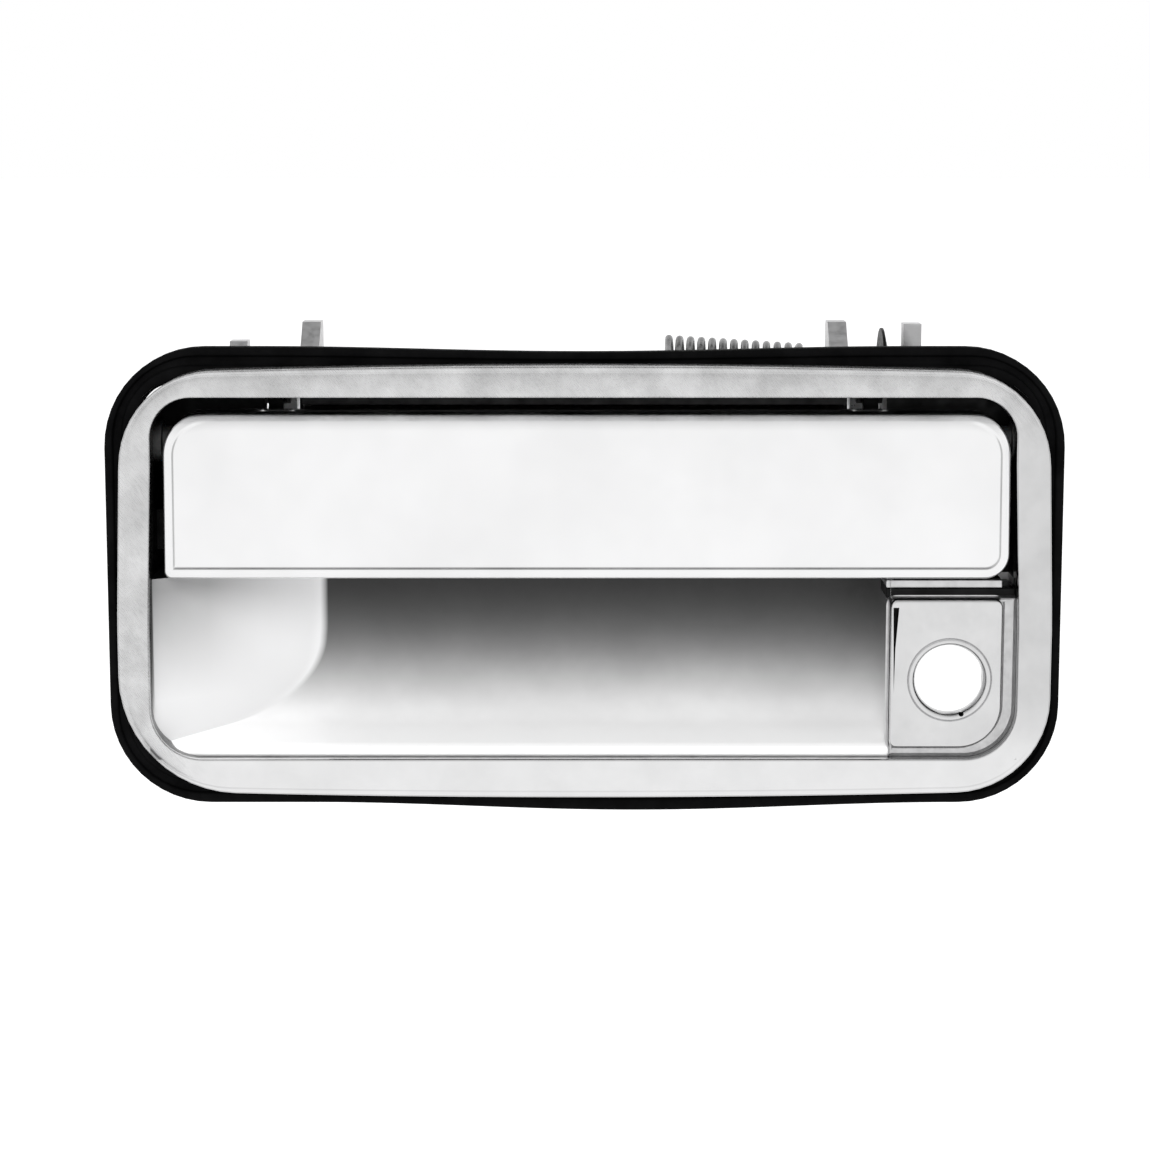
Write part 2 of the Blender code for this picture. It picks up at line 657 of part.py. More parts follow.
def add_bumper_seats(body):
    """A pedestal under the left bumper, level with the recess that seats the right one."""
    half = STOP_PAD_HEIGHT / 2
    edge = bumper_spots()[0][1] + BUMPER_RADIUS + 1 * MM
    join(body, block("bumper_pedestal",
                     (OPENING_LEFT - WALL / 2, RECESS_BACK, BUMPER_Z - half),
                     (edge, POCKET_BACK + WALL / 2, BUMPER_Z + half)))
    for side, x in bumper_spots():
        cut(body, rod("bumper_hole_" + side, BUMPER_STEM + CLEAR,
                      (x, RECESS_BACK - 1 * MM, BUMPER_Z),
                      1 * MM + BUMPER_STEM_LENGTH + CLEAR, "Y", 16))


def stud_spots():
    """Each stud's name, X, Z and the depth where its boss leaves the body."""
    z = BODY_TOP - STUD_FROM_TOP
    return (("left", BODY_LEFT + STUD_FROM_LEFT, z, BODY_DEEP),
            ("right", BODY_RIGHT - STUD_FROM_RIGHT, z, BODY_SHALLOW))


def add_stud_bosses(body):
    for side, x, z, root in stud_spots():
        start = root - WALL / 2
        join(body, rod("stud_boss_" + side, STUD_BOSS_RADIUS, (x, start, z),
                       STUD_BOSS_FACE - start, "Y", 32))
        cut(body, rod("stud_hole_" + side, STUD_RADIUS + CLEAR,
                      (x, STUD_BOSS_FACE - STUD_DEPTH, z), STUD_DEPTH + OVERRUN, "Y"))


def gasket():
    """Soft rubber seal between the frame and the door skin."""
    corners = (GASKET_CORNER,) * 4
    half_width = FRAME_HALF_WIDTH + GASKET_MARGIN_SIDE
    outline = rounded(-half_width, half_width, -FRAME_HALF_HEIGHT - GASKET_MARGIN_BOTTOM,
                      FRAME_HALF_HEIGHT + GASKET_MARGIN_TOP, corners, 8, gasket_rise, 12)
    paint(prism("gasket", outline, -GASKET_THICKNESS, 0, "Y", hole=body_outline(CLEAR)),
          RUBBER)


def paddle_profile():
    """The paddle in side view: a round nose over the hinge, a flat face and a lip."""
    low_face = PADDLE_FACE - PADDLE_LEAN
    lip_end = low_face + PADDLE_LIP_DEPTH
    points = arc((HINGE_Y, HINGE_Z), NOSE_RADIUS, 180, 0, 16)
    points += [(PADDLE_BACK, HINGE_Z - 5 * MM), (PADDLE_BACK, PADDLE_BOTTOM + 5 * MM),
               (lip_end, PADDLE_BOTTOM + 0.4 * MM), (low_face + PADDLE_EDGE, PADDLE_BOTTOM),
               (low_face + PADDLE_EDGE / 3, PADDLE_BOTTOM + PADDLE_EDGE / 3),
               (low_face, PADDLE_BOTTOM + PADDLE_EDGE)]
    return points


def paddle_cavity():
    """The open back of the paddle, between its end cheeks and behind its lip."""
    low_face = PADDLE_FACE - PADDLE_LEAN + PADDLE_SKIN
    lip_end = PADDLE_FACE - PADDLE_LEAN + PADDLE_LIP_DEPTH
    roof = HINGE_Z - NOSE_RADIUS * 0.75
    profile = [(low_face, PADDLE_BOTTOM + PADDLE_SKIN), (PADDLE_FACE + PADDLE_SKIN, roof),
               (PADDLE_BACK + OVERRUN, roof), (PADDLE_BACK + OVERRUN, PADDLE_BOTTOM - OVERRUN),
               (lip_end, PADDLE_BOTTOM - OVERRUN), (lip_end, PADDLE_BOTTOM + PADDLE_SKIN)]
    return prism("paddle_cavity", profile, PADDLE_LEFT + PADDLE_SKIN,
                 PADDLE_RIGHT - PADDLE_SKIN, "X")


def pull_handle():
    """The pull paddle: a chromed shell with two fingers that work the lever."""
    paddle = prism("pull_handle", paddle_profile(), PADDLE_LEFT, PADDLE_RIGHT, "X")
    corners = (PADDLE_LEFT_CORNER, PADDLE_RIGHT_CORNER, PADDLE_TOP_CORNER, PADDLE_TOP_CORNER)
    outline = rounded(PADDLE_LEFT, PADDLE_RIGHT, PADDLE_BOTTOM, PADDLE_TOP + 0.01 * MM, corners)
    combine(paddle, prism("paddle_outline", outline, PADDLE_FACE - OVERRUN,
                          PADDLE_BACK + OVERRUN, "Y"), "INTERSECT")
    cut(paddle, paddle_cavity())
    half = STOP_PAD / 2
    for side, x in bumper_spots():
        join(paddle, block("stop_" + side, (x - half, PADDLE_FACE + 1 * MM, BUMPER_Z - half),
                           (x + half, PADDLE_BACK, BUMPER_Z + half)))
    core = SHOE_HALF - SHOE_WALL - CLEAR
    finger = stadium((HINGE_Y, HINGE_Z), FINGER_ANGLE, FINGER_LENGTH - SHOE_WALL - CLEAR, core)
    width = (SHOE_WIDTH - 2 * SHOE_WALL) / 2 - CLEAR
    for side, x in (("left", FINGER_LEFT), ("right", FINGER_RIGHT)):
        join(paddle, prism("finger_" + side, finger, x - width, x + width, "X"))
    depth = HINGE_PIN_GRIP + CLEAR
    cut(paddle, rod("bore_left", PADDLE_BORE, (PADDLE_LEFT - OVERRUN, HINGE_Y, HINGE_Z),
                    depth + OVERRUN, "X"),
        rod("bore_right", PADDLE_BORE, (PADDLE_RIGHT - depth, HINGE_Y, HINGE_Z),
            depth + OVERRUN, "X"))
    set_pivot(paddle, (0, HINGE_Y, HINGE_Z))
    paint(paddle, CHROME)


def set_pivot(thing, place):
    """Move an object's origin to a place without moving its shape."""
    shift = Matrix.Translation(place)
    thing.data.transform(shift.inverted() @ thing.matrix_world)
    thing.matrix_world = shift


def hinge_sides():
    """Each end of the paddle: name, outward direction, paddle end, gap, wall's outer face."""
    return (("left", -1, PADDLE_LEFT, PADDLE_GAP_LEFT, BODY_LEFT),
            ("right", 1, PADDLE_RIGHT, PADDLE_GAP_RIGHT, BODY_RIGHT))


def hinge_pins_and_bushings():
    for side, out, end, gap, wall in hinge_sides():
        inner = end - out * HINGE_PIN_GRIP + out * CLEAR
        outer = wall - out * CLEAR
        length = abs(outer - inner)
        pin = turned("hinge_pin_" + side,
                     [(0, length), (HINGE_PIN_RADIUS - 0.3 * MM, length),
                      (HINGE_PIN_RADIUS, length - 0.3 * MM), (HINGE_PIN_RADIUS, 0), (0, 0)],
                     (inner, HINGE_Y, HINGE_Z), (out, 0, 0), False)
        paint(pin, STEEL)
        sleeve = HINGE_PIN_GRIP - 1 * MM
        flange = gap - 2 * CLEAR
        head = BUSHING_RADIUS + BUSHING_FLANGE
        profile = [(head, sleeve + CLEAR + flange), (head, sleeve + CLEAR),
                   (BUSHING_RADIUS, sleeve + CLEAR), (BUSHING_RADIUS, 0),
                   (BUSHING_BORE, 0), (BUSHING_BORE, sleeve + CLEAR + flange)]
        bushing = turned("hinge_bushing_" + side, profile,
                         (end - out * sleeve, HINGE_Y, HINGE_Z), (out, 0, 0), True)
        paint(bushing, NYLON)


def bumpers():
    """Rubber buttons that the shut paddle rests on."""
    face = PADDLE_BACK + CLEAR
    seat = RECESS_BACK - CLEAR
    for side, x in bumper_spots():
        height = seat - face
        profile = [(0, height + BUMPER_STEM_LENGTH), (BUMPER_STEM, height + BUMPER_STEM_LENGTH),
                   (BUMPER_STEM, height), (BUMPER_RADIUS, height), (BUMPER_RADIUS, 0.3 * MM),
                   (BUMPER_RADIUS - 0.3 * MM, 0), (0, 0)]
        paint(turned("bumper_" + side, profile, (x, face, BUMPER_Z), (0, 1, 0), False), RUBBER)


def finger_shoes():
    """Nylon caps on the ends of the paddle's fingers."""
    outer = stadium((HINGE_Y, HINGE_Z), FINGER_ANGLE, FINGER_LENGTH, SHOE_HALF)
    inner = stadium((HINGE_Y, HINGE_Z), FINGER_ANGLE, FINGER_LENGTH - SHOE_WALL,
                    SHOE_HALF - SHOE_WALL)
    root = FINGER_LENGTH - SHOE_LENGTH
    for points in (outer, inner):
        for index in (-2, -1):
            across, up = points[index]
            points[index] = (across + root * math.cos(FINGER_ANGLE),
                             up + root * math.sin(FINGER_ANGLE))
    for index in (-2, -1):
        across, up = inner[index]
        inner[index] = (across - OVERRUN * math.cos(FINGER_ANGLE),
                        up - OVERRUN * math.sin(FINGER_ANGLE))
    half = SHOE_WIDTH / 2
    for side, x in (("left", FINGER_LEFT), ("right", FINGER_RIGHT)):
        shoe = prism("finger_shoe_" + side, outer, x - half, x + half, "X")
        cut(shoe, prism("shoe_slot_" + side, inner, x - half + SHOE_WALL,
                        x + half - SHOE_WALL, "X"))
        set_pivot(shoe, (x, HINGE_Y, HINGE_Z))
        paint(shoe, NYLON)


def transfer_lever():
    """Bail that turns on the shaft: two arms, a back plate and the latch rod's arm."""
    half = ARM_WIDTH / 2
    left, right = FINGER_LEFT - half, FINGER_RIGHT + half
    bail_back = BAIL_Y + BAIL_THICKNESS
    lever = block("transfer_lever", (left + BAIL_INSET, BAIL_Y, BAIL_LOW + BAIL_INSET),
                  (right - BAIL_INSET, bail_back - BAIL_INSET, BAIL_HIGH - BAIL_INSET))
    shaft = (SHAFT_Y, SHAFT_Z)
    cheek = arc(shaft, HUB_RADIUS, 70, 200, 10)
    cheek += [(SHAFT_Y - HUB_RADIUS + 0.4 * MM, SHAFT_Z - CHEEK_DROP + 1 * MM),
              (SHAFT_Y - HUB_RADIUS + 1.4 * MM, SHAFT_Z - CHEEK_DROP),
              (SHAFT_Y + 1 * MM, SHAFT_Z - CHEEK_DROP),
              (bail_back, BAIL_LOW), (bail_back, BAIL_HIGH)]
    arm = stadium(shaft, ARM_ANGLE, ARM_LENGTH, ARM_HALF)
    for side, x in (("left", FINGER_LEFT), ("right", FINGER_RIGHT)):
        join(lever, prism("cheek_" + side, cheek, x - half, x + half, "X"),
             prism("arm_" + side, arm, x - half + ARM_INSET, x + half - ARM_INSET, "X"))
    join(lever, prism("rod_arm", rod_arm_profile(), ROD_ARM_X - ROD_ARM_THICKNESS / 2,
                      ROD_ARM_X + ROD_ARM_THICKNESS / 2, "X"))
    start = left - OVERRUN
    cut(lever, rod("lever_bore", SHAFT_BUSHING_BORE, (start, SHAFT_Y, SHAFT_Z),
                   right - left + 2 * OVERRUN, "X"),
        rod("rod_hole", ROD_HOLE, (ROD_ARM_X - ROD_ARM_THICKNESS, ROD_Y, ROD_Z),
            2 * ROD_ARM_THICKNESS, "X", 20))
    set_pivot(lever, (0, SHAFT_Y, SHAFT_Z))
    paint(lever, STEEL)


def rod_arm_profile():
    eye = arc((ROD_Y, ROD_Z), ROD_ARM_EYE, 200, 400, 12)
    back, middle = BAIL_Y + BAIL_THICKNESS, BAIL_Y + BAIL_THICKNESS / 2
    return [*eye, (back, BAIL_HIGH - 2 * BAIL_INSET), (middle, BAIL_HIGH - 2 * BAIL_INSET),
            (middle, BAIL_LOW - 2 * BAIL_INSET)]


def latch_rod_clip():
    """Nylon clip in the rod arm, bored for the latch rod."""
    grip = ROD_ARM_THICKNESS / 2 + CLEAR
    bore, stem, flange = 1.5 * MM, ROD_HOLE - CLEAR, ROD_HOLE + 1.6 * MM
    top = grip + 1.5 * MM
    tail = -grip - 3 * MM
    profile = [(flange, top), (flange, grip), (stem, grip), (stem, tail), (bore, tail),
               (bore, top)]
    paint(turned("latch_rod_clip", profile, (ROD_ARM_X, ROD_Y, ROD_Z), (1, 0, 0), True),
          NYLON)


def lever_shaft():
    left = FINGER_LEFT - ARM_WIDTH / 2 - 0.5 * MM
    right = push_nut_place() + 2 * MM
    profile = [(0, right), (SHAFT_RADIUS - 0.4 * MM, right),
               (SHAFT_RADIUS, right - 0.4 * MM), (SHAFT_RADIUS, left),
               (SHAFT_HEAD_RADIUS, left), (SHAFT_HEAD_RADIUS, left - SHAFT_HEAD),
               (0, left - SHAFT_HEAD)]
    paint(turned("lever_shaft", profile, (0, SHAFT_Y, SHAFT_Z), (1, 0, 0), False), STEEL)


def push_nut_place():
    """The X of the push nut's inner face."""
    return FINGER_RIGHT + ARM_WIDTH / 2 + 1.4 * MM


def shaft_push_nut():
    """Dished retainer on the end of the shaft."""
    bore = SHAFT_RADIUS + CLEAR
    sheet, dish = PUSH_NUT_SHEET, PUSH_NUT_DISH
    middle = bore + 1.5 * MM
    profile = [(bore, sheet + dish), (middle, sheet + dish), (PUSH_NUT_RADIUS, sheet),
               (PUSH_NUT_RADIUS, 0), (middle, dish), (bore, dish)]
    nut = turned("shaft_push_nut", profile, (push_nut_place(), SHAFT_Y, SHAFT_Z), (1, 0, 0),
                 True)
    paint(nut, BLACK_STEEL)


def shaft_bushings():
    """Flanged bushes in the lugs, with their flanges on the inner sides."""
    for side, middle, inward in (("left", LUG_LEFT, 1), ("right", LUG_RIGHT, -1)):
        face = LUG_THICKNESS / 2
        flange = SHAFT_BUSHING_RADIUS + BUSHING_FLANGE
        profile = [(flange, face + CLEAR + BUSHING_FLANGE), (flange, face + CLEAR),
                   (SHAFT_BUSHING_RADIUS, face + CLEAR), (SHAFT_BUSHING_RADIUS, -face),
                   (SHAFT_BUSHING_BORE, -face),
                   (SHAFT_BUSHING_BORE, face + CLEAR + BUSHING_FLANGE)]
        bushing = turned("shaft_bushing_" + side, profile, (middle, SHAFT_Y, SHAFT_Z),
                         (inward, 0, 0), True)
        paint(bushing, NYLON)


def coil_path():
    """The spring's wire: a leg on the housing, the coil, and a leg over the lever."""
    def at(share, angle):
        x = COIL_LEFT + (COIL_RIGHT - COIL_LEFT) * share
        height = SHAFT_Z + COIL_TILT * (1 - 2 * share)
        return Vector((x, SHAFT_Y + COIL_RADIUS * math.cos(angle),
                       height + COIL_RADIUS * math.sin(angle)))

    count = COIL_TURNS * COIL_POINTS_PER_TURN
    coil = [at(index / count, math.pi / 2 - 2 * math.pi * COIL_TURNS * index / count)
            for index in range(count + 1)]
    first, last = coil[0], coil[-1]
    rest = BODY_TOP + COIL_WIRE + CLEAR
    over_lever = BAIL_HIGH + COIL_WIRE + CLEAR
    front = [Vector((first.x - 0.4 * MM, SHAFT_Y - 12 * MM, rest)),
             Vector((first.x - 0.2 * MM, SHAFT_Y - 4 * MM, (rest + 2 * first.z) / 3))]
    back = [Vector((last.x + 0.2 * MM, SHAFT_Y + 4 * MM, (over_lever + 2 * last.z) / 3)),
            Vector((last.x + 0.4 * MM, BAIL_Y + BAIL_THICKNESS + 2 * MM, over_lever))]
    return front + coil + back


def return_spring():
    curve = bpy.data.curves.new("return_spring", "CURVE")
    curve.dimensions = "3D"
    curve.bevel_depth = COIL_WIRE
    curve.bevel_resolution = 2
    curve.use_fill_caps = True
    spline = curve.splines.new("POLY")
    path = coil_path()
    spline.points.add(len(path) - 1)
    for point, place in zip(spline.points, path):
        point.co = (*place, 1)
    paint(finish_mesh("return_spring", curve_shell(curve), Matrix.Identity(4)), STEEL)


def studs_and_nuts():
    """Threaded studs in the housing's bosses, and the flanged nuts that clamp the door."""
    for side, x, z, _ in stud_spots():
        start = STUD_BOSS_FACE - STUD_DEPTH + CLEAR
        length = STUD_END - start
        profile = [(0, length), (STUD_RADIUS - 0.8 * MM, length),
                   (STUD_RADIUS, length - 0.8 * MM), (STUD_RADIUS, 0), (0, 0)]
        paint(turned("mounting_stud_" + side, profile, (x, start, z), (0, 1, 0), False), STEEL)
        nut_start = STUD_BOSS_FACE + NUT_STANDOFF
        corner = NUT_ACROSS_FLATS / math.sqrt(3)
        hexagon = [(x + across, z + up) for across, up in arc((0, 0), corner, 0, 300, 5)]
        nut = prism("mounting_nut_" + side, hexagon, nut_start, nut_start + NUT_HEIGHT, "Y")
        join(nut, rod("nut_flange_" + side, NUT_FLANGE_RADIUS, (x, nut_start - 0.2 * MM, z),
                      NUT_FLANGE, "Y", 32))
        cut(nut, rod("nut_bore_" + side, STUD_RADIUS + CLEAR, (x, nut_start - OVERRUN, z),
                     NUT_HEIGHT + 2 * OVERRUN, "Y"))
        paint(nut, STEEL)


housing()
gasket()
pull_handle()
hinge_pins_and_bushings()
bumpers()
finger_shoes()
transfer_lever()
latch_rod_clip()
lever_shaft()
shaft_push_nut()
shaft_bushings()
return_spring()
studs_and_nuts()
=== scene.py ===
"""Looks for a flush car door handle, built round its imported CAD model.

Lengths are in millimetres until a mesh is made. X runs right, Y into the door and Z up.
"""
import math

import bmesh
import bpy
import numpy as np
from mathutils import Matrix, Vector

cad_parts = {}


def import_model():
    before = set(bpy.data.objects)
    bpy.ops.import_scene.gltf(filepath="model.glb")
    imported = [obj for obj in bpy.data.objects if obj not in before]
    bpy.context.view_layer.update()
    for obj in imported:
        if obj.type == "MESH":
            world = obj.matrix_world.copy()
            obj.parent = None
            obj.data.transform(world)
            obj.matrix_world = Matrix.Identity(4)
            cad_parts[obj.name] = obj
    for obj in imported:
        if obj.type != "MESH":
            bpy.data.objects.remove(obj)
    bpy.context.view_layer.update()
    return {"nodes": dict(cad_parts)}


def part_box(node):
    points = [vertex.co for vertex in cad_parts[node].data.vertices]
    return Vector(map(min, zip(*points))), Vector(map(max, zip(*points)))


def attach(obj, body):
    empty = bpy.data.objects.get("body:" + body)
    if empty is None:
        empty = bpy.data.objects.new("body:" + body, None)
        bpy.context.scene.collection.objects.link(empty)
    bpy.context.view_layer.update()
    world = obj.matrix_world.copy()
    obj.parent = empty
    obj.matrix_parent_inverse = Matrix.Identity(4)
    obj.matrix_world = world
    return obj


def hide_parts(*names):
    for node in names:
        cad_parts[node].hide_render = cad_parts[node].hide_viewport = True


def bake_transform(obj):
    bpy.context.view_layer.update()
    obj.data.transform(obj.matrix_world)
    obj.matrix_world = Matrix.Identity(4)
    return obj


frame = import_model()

MM = 0.001

# Sizes that the CAD source sets. HINGE and SHAFT are (Y, Z), BORE is (X, Z), and a box is
# (left, right, bottom, top).
HINGE = (-1.5, 27.6)
SHAFT = (24.5, 39.6)
SHAFT_RADIUS = 2.2
PADDLE = (-83.0, 83.9, 1.0, 34.0)
PADDLE_CORNERS = (1.6, 5.0, 8.7, 8.7)
NOSE = 6.4
FRAME = (-92.7, 92.7, -41.6, 41.6)
FRAME_CORNER = 18.4
OPENING = (-86.0, 85.5, -35.0, 36.9)
OPENING_CORNER = 10.0
BODY_SIDES = (-88.0, 87.5)
GASKET_HOLE = (-88.3, 87.8, -37.3, 39.2)
GASKET = (-95.1, 95.1, -45.6, 46.3)
LIP_Y = -7.0
POCKET_BACK = 16.5
FLOOR_SLOPE = math.radians(13)
FILLET = 17.0
FILLET_CENTRE = (-0.5, -14.25)
END_SLOPE = math.radians(54)
BOSS = (60.4, 82.7, -33.0, -3.2)
BOSS_CORNERS = (1.5, 8.5, 1.5, 1.5)
BOSS_FRONT = -9.0
BOSS_PLATE = 2.5
BORE = (72.3, -19.2)
BORE_RADIUS = 6.7
CHANNEL_Y = -6.4
LEDGE_FRONT = -6.2
LEDGE = (-1.2, 0.4)
SKIN = 2.2
HINGE_BORE = 3.3
LUGS = (-55.85, 51.75)
FINGERS = (-61.35, 56.95)
FINGER_ANGLE = math.radians(53.98)
FINGER_LENGTH = 15.5
BUMPERS = (-76.0, 76.9)
BUMPER_Z = 9.0
STUDS = (("left", -79.0), ("right", 76.0))
STUD_Z = 19.9
NUT_START = 27.0
ROD_CLIP = (-42, 38, 27)
COIL = (17.4, 44.2)
COIL_TURNS = 12
LEG_SEATS = (38.9, 41.5)

# Sizes that only the looks use
CASTING_FRONT = -4.1
FRAME_LOWER_LEFT_CORNER = 23.0
OPENING_TOP_CORNER = 8.0
POCKET_TOP = 0.6
BOSS_BACK = 4.8
STUD_PLAIN_END = 24.0
DRAFT = 0.1
DRAFTED_WALL = 2.3
NOSE_POWER = 3.0
COIL_RADIUS = 4.75
COIL_WIRE = 0.78
COIL_TILT = 0.83
COIL_LIFT = 0.65
FLOOR_Z = -150
FLOOR_REACH = 9000


# Camera

def add_camera():
    """Almost head-on, a little above the handle and looking 9 degrees down."""
    data = bpy.data.cameras.new("photo_camera")
    data.sensor_width = 36
    data.lens = 93.9
    data.shift_y = 0.0017
    camera = bpy.data.objects.new("photo_camera", data)
    camera.location = (-0.0019, -0.5926, 0.0939)
    camera.rotation_euler = (math.radians(81), 0, 0)
    bpy.context.scene.collection.objects.link(camera)
    bpy.context.scene.camera = camera
    bpy.context.scene.view_settings.view_transform = "Standard"


add_camera()


# Materials

class Look:
    """One procedural material. Its textures are laid out in the row frame."""

    def __init__(self, name, metallic, **sockets):
        self.made = bpy.data.materials.new(name)
        self.made.use_nodes = True
        self.tree = self.made.node_tree
        self.shader = self.tree.nodes["Principled BSDF"]
        self.shader.inputs["Metallic"].default_value = metallic
        for socket, value in sockets.items():
            self.shader.inputs[socket.replace("_", " ")].default_value = value
        coordinates = self.tree.nodes.new("ShaderNodeTexCoord")
        self.place, self.facing = coordinates.outputs["Object"], coordinates.outputs["Normal"]
        self.normal = None

    def node(self, kind, inputs=(), **settings):
        made = self.tree.nodes.new("ShaderNode" + kind)
        for key, value in settings.items():
            setattr(made, key, value)
        for key, value in dict(inputs).items():
            if isinstance(value, bpy.types.NodeSocket):
                self.tree.links.new(value, made.inputs[key])
            else:
                made.inputs[key].default_value = value
        return made

    def noise(self, size, detail=3, stretch=(1, 1, 1), turn=(0, 0, 0), rough=0.55):
        """Noise whose features are about size millimetres across, before the stretch."""
        scale = tuple(1 / (size * MM * share) for share in stretch)
        place = self.node("Mapping", {"Vector": self.place, "Rotation": turn}).outputs[0]
        place = self.node("Mapping", {"Vector": place, "Scale": scale}).outputs[0]
        made = self.node("TexNoise", {"Vector": place, "Scale": 1.0, "Detail": detail,
                                      "Roughness": rough})
        return made.outputs["Fac"]

    def between(self, value, low, high, start=0.35, end=0.65):
        """The value, taken from start..end to low..high."""
        made = self.node("MapRange", {"Value": value, "From Min": start, "From Max": end,
                                      "To Min": low, "To Max": high})
        return made.outputs["Result"]

    def math(self, operation, first, second=0.0):
        return self.node("Math", {0: first, 1: second}, operation=operation).outputs[0]

    def axis(self, name):
        """One row-frame coordinate in millimetres."""
        split = self.node("SeparateXYZ", {"Vector": self.place})
        return self.math("MULTIPLY", split.outputs[name], 1000.0)

    def step(self, axis, start, end):
        """0 before start and 1 after end, along one coordinate in millimetres."""
        made = self.node("MapRange", {"Value": self.axis(axis), "From Min": start,
                                      "From Max": end}, interpolation_type="SMOOTHSTEP")
        return made.outputs["Result"]

    def inside(self, across, up):
        """1 between two X and two Z places in millimetres."""
        made = self.math("MULTIPLY", self.step("X", across[0] - 0.1, across[0]),
                         self.step("Z", up[0] - 0.1, up[0]))
        over = self.math("MAXIMUM", self.step("X", across[1], across[1] + 0.1),
                         self.step("Z", up[1], up[1] + 0.1))
        return self.math("MULTIPLY", made, self.invert(over))

    def ramp(self, value, stops):
        made = self.node("ValToRGB", {"Fac": value})
        elements = made.color_ramp.elements
        while len(elements) < len(stops):
            elements.new(0.5)
        for element, (place, colour) in zip(elements, stops):
            element.position = place
            element.color = (*colour, 1)
        return made.outputs["Color"]

    def clouded(self, cloud, dark, light):
        """Two tones that run into each other by a noise."""
        return self.ramp(cloud, [(0.3, dark), (0.7, light)])

    def invert(self, value):
        return self.math("SUBTRACT", 1.0, value)

    def mix(self, share, first, second):
        """Two colours mixed."""
        made = self.node("Mix", {"Factor": share}, data_type="RGBA")
        self.feed(made.inputs[6], first)
        self.feed(made.inputs[7], second)
        return made.outputs[2]

    def feed(self, socket, value):
        if isinstance(value, bpy.types.NodeSocket):
            self.tree.links.new(value, socket)
        else:
            socket.default_value = (*value, 1)

    def colour(self, value):
        self.tree.links.new(value, self.shader.inputs["Base Color"])

    def roughness(self, value):
        self.tree.links.new(value, self.shader.inputs["Roughness"])

    def bump(self, height, depth, strength=1.0):
        """Relief depth millimetres deep, on top of any relief before it."""
        inputs = {"Height": height, "Distance": depth * MM, "Strength": strength}
        if self.normal is not None:
            inputs["Normal"] = self.normal
        self.normal = self.node("Bump", inputs).outputs["Normal"]
        self.tree.links.new(self.normal, self.shader.inputs["Normal"])


def grey(value):
    return (value, value, value * 1.005)


def frame_chrome():
    """Plating polished along the bottom and worn to a brushed satin on top and left."""
    look = Look("chrome_frame", 1.0)
    top = look.step("Z", 24.0, 37.0)
    left = look.invert(look.step("X", -87.0, -72.0))
    satin = look.math("MAXIMUM", top, left)
    scratches = look.noise(0.3, 4, (1, 1, 16), (0, math.radians(38), 0), 0.7)
    cloud = look.noise(9, 3)
    streaks = look.math("ADD", look.math("MULTIPLY", cloud, 0.6),
                        look.math("MULTIPLY", scratches, 0.4))
    worn = look.ramp(streaks, [(0.36, grey(0.53)), (0.62, grey(0.77))])
    bright = look.clouded(cloud, grey(0.78), grey(0.84))
    duller = look.clouded(cloud, grey(0.60), grey(0.68))
    right = look.math("MULTIPLY", look.step("X", 76.0, 87.0), look.step("Z", -38.0, -20.0))
    face = look.mix(satin, look.mix(right, bright, duller), worn)
    # Painted shade: the inner wall of the opening, up to near its top, is near black.
    inner = look.math("MULTIPLY", look.inside((-86.25, 85.75), (-35.25, 33.0)),
                      look.step("Y", -9.5, -9.1))
    edge = look.clouded(look.noise(3, 4), grey(0.06), grey(0.22))
    look.colour(look.mix(inner, face, edge))
    fine = look.between(look.noise(1.2, 4), 0.07, 0.13)
    coarse = look.between(scratches, 0.2, 0.4)
    spread = look.math("SUBTRACT", coarse, fine)
    look.roughness(look.math("ADD", fine, look.math("MULTIPLY", spread, satin)))
    look.bump(look.math("MULTIPLY", scratches, satin), 0.03, 0.6)
    look.bump(look.noise(6, 1), 0.03, 0.6)
    return look.made


def liner_chrome():
    """Satin plating in the cast pocket, with painted shade that darkens it up behind the paddle and
    towards the top left of its end wall.
    """
    look = Look("chrome_pocket", 0.12)
    # Painted shade: the floor and back wall run from near white at the bottom to near black at the
    # top, and the end wall grows darker towards its top left.
    height = look.math("ADD", look.axis("Z"), look.between(look.noise(14, 3), -0.4, 0.4))
    level = look.between(height, 0.0, 1.0, -34.0, 2.0)
    half_shade, steepness, floor_tone = 0.26, 2.5, 0.03
    fall = look.math("POWER", look.math("DIVIDE", level, half_shade), steepness)
    share = look.math("DIVIDE", 1.0, look.math("ADD", fall, 1.0))
    deep = look.math("SUBTRACT", share, floor_tone)
    way = look.node("SeparateXYZ", {"Vector": look.facing}).outputs["X"]
    across = look.between(look.axis("X"), 0.0, 1.0, -85.0, -53.0)
    top = look.ramp(across, [(0.0, grey(0.22)), (0.3, grey(0.34)), (0.6, grey(0.62)),
                             (1.0, grey(0.95))])
    wall = look.mix(look.between(height, 1.0, 0.0, -24.0, -2.0), top, grey(0.63))
    look.colour(look.mix(look.between(way, 0.0, 1.0, 0.2, 0.42), deep, wall))
    look.roughness(look.between(look.noise(2.2, 4), 0.36, 0.44))
    look.bump(look.noise(0.5, 3), 0.004, 0.4)
    look.bump(look.noise(9, 1), 0.03, 0.4)
    return look.made


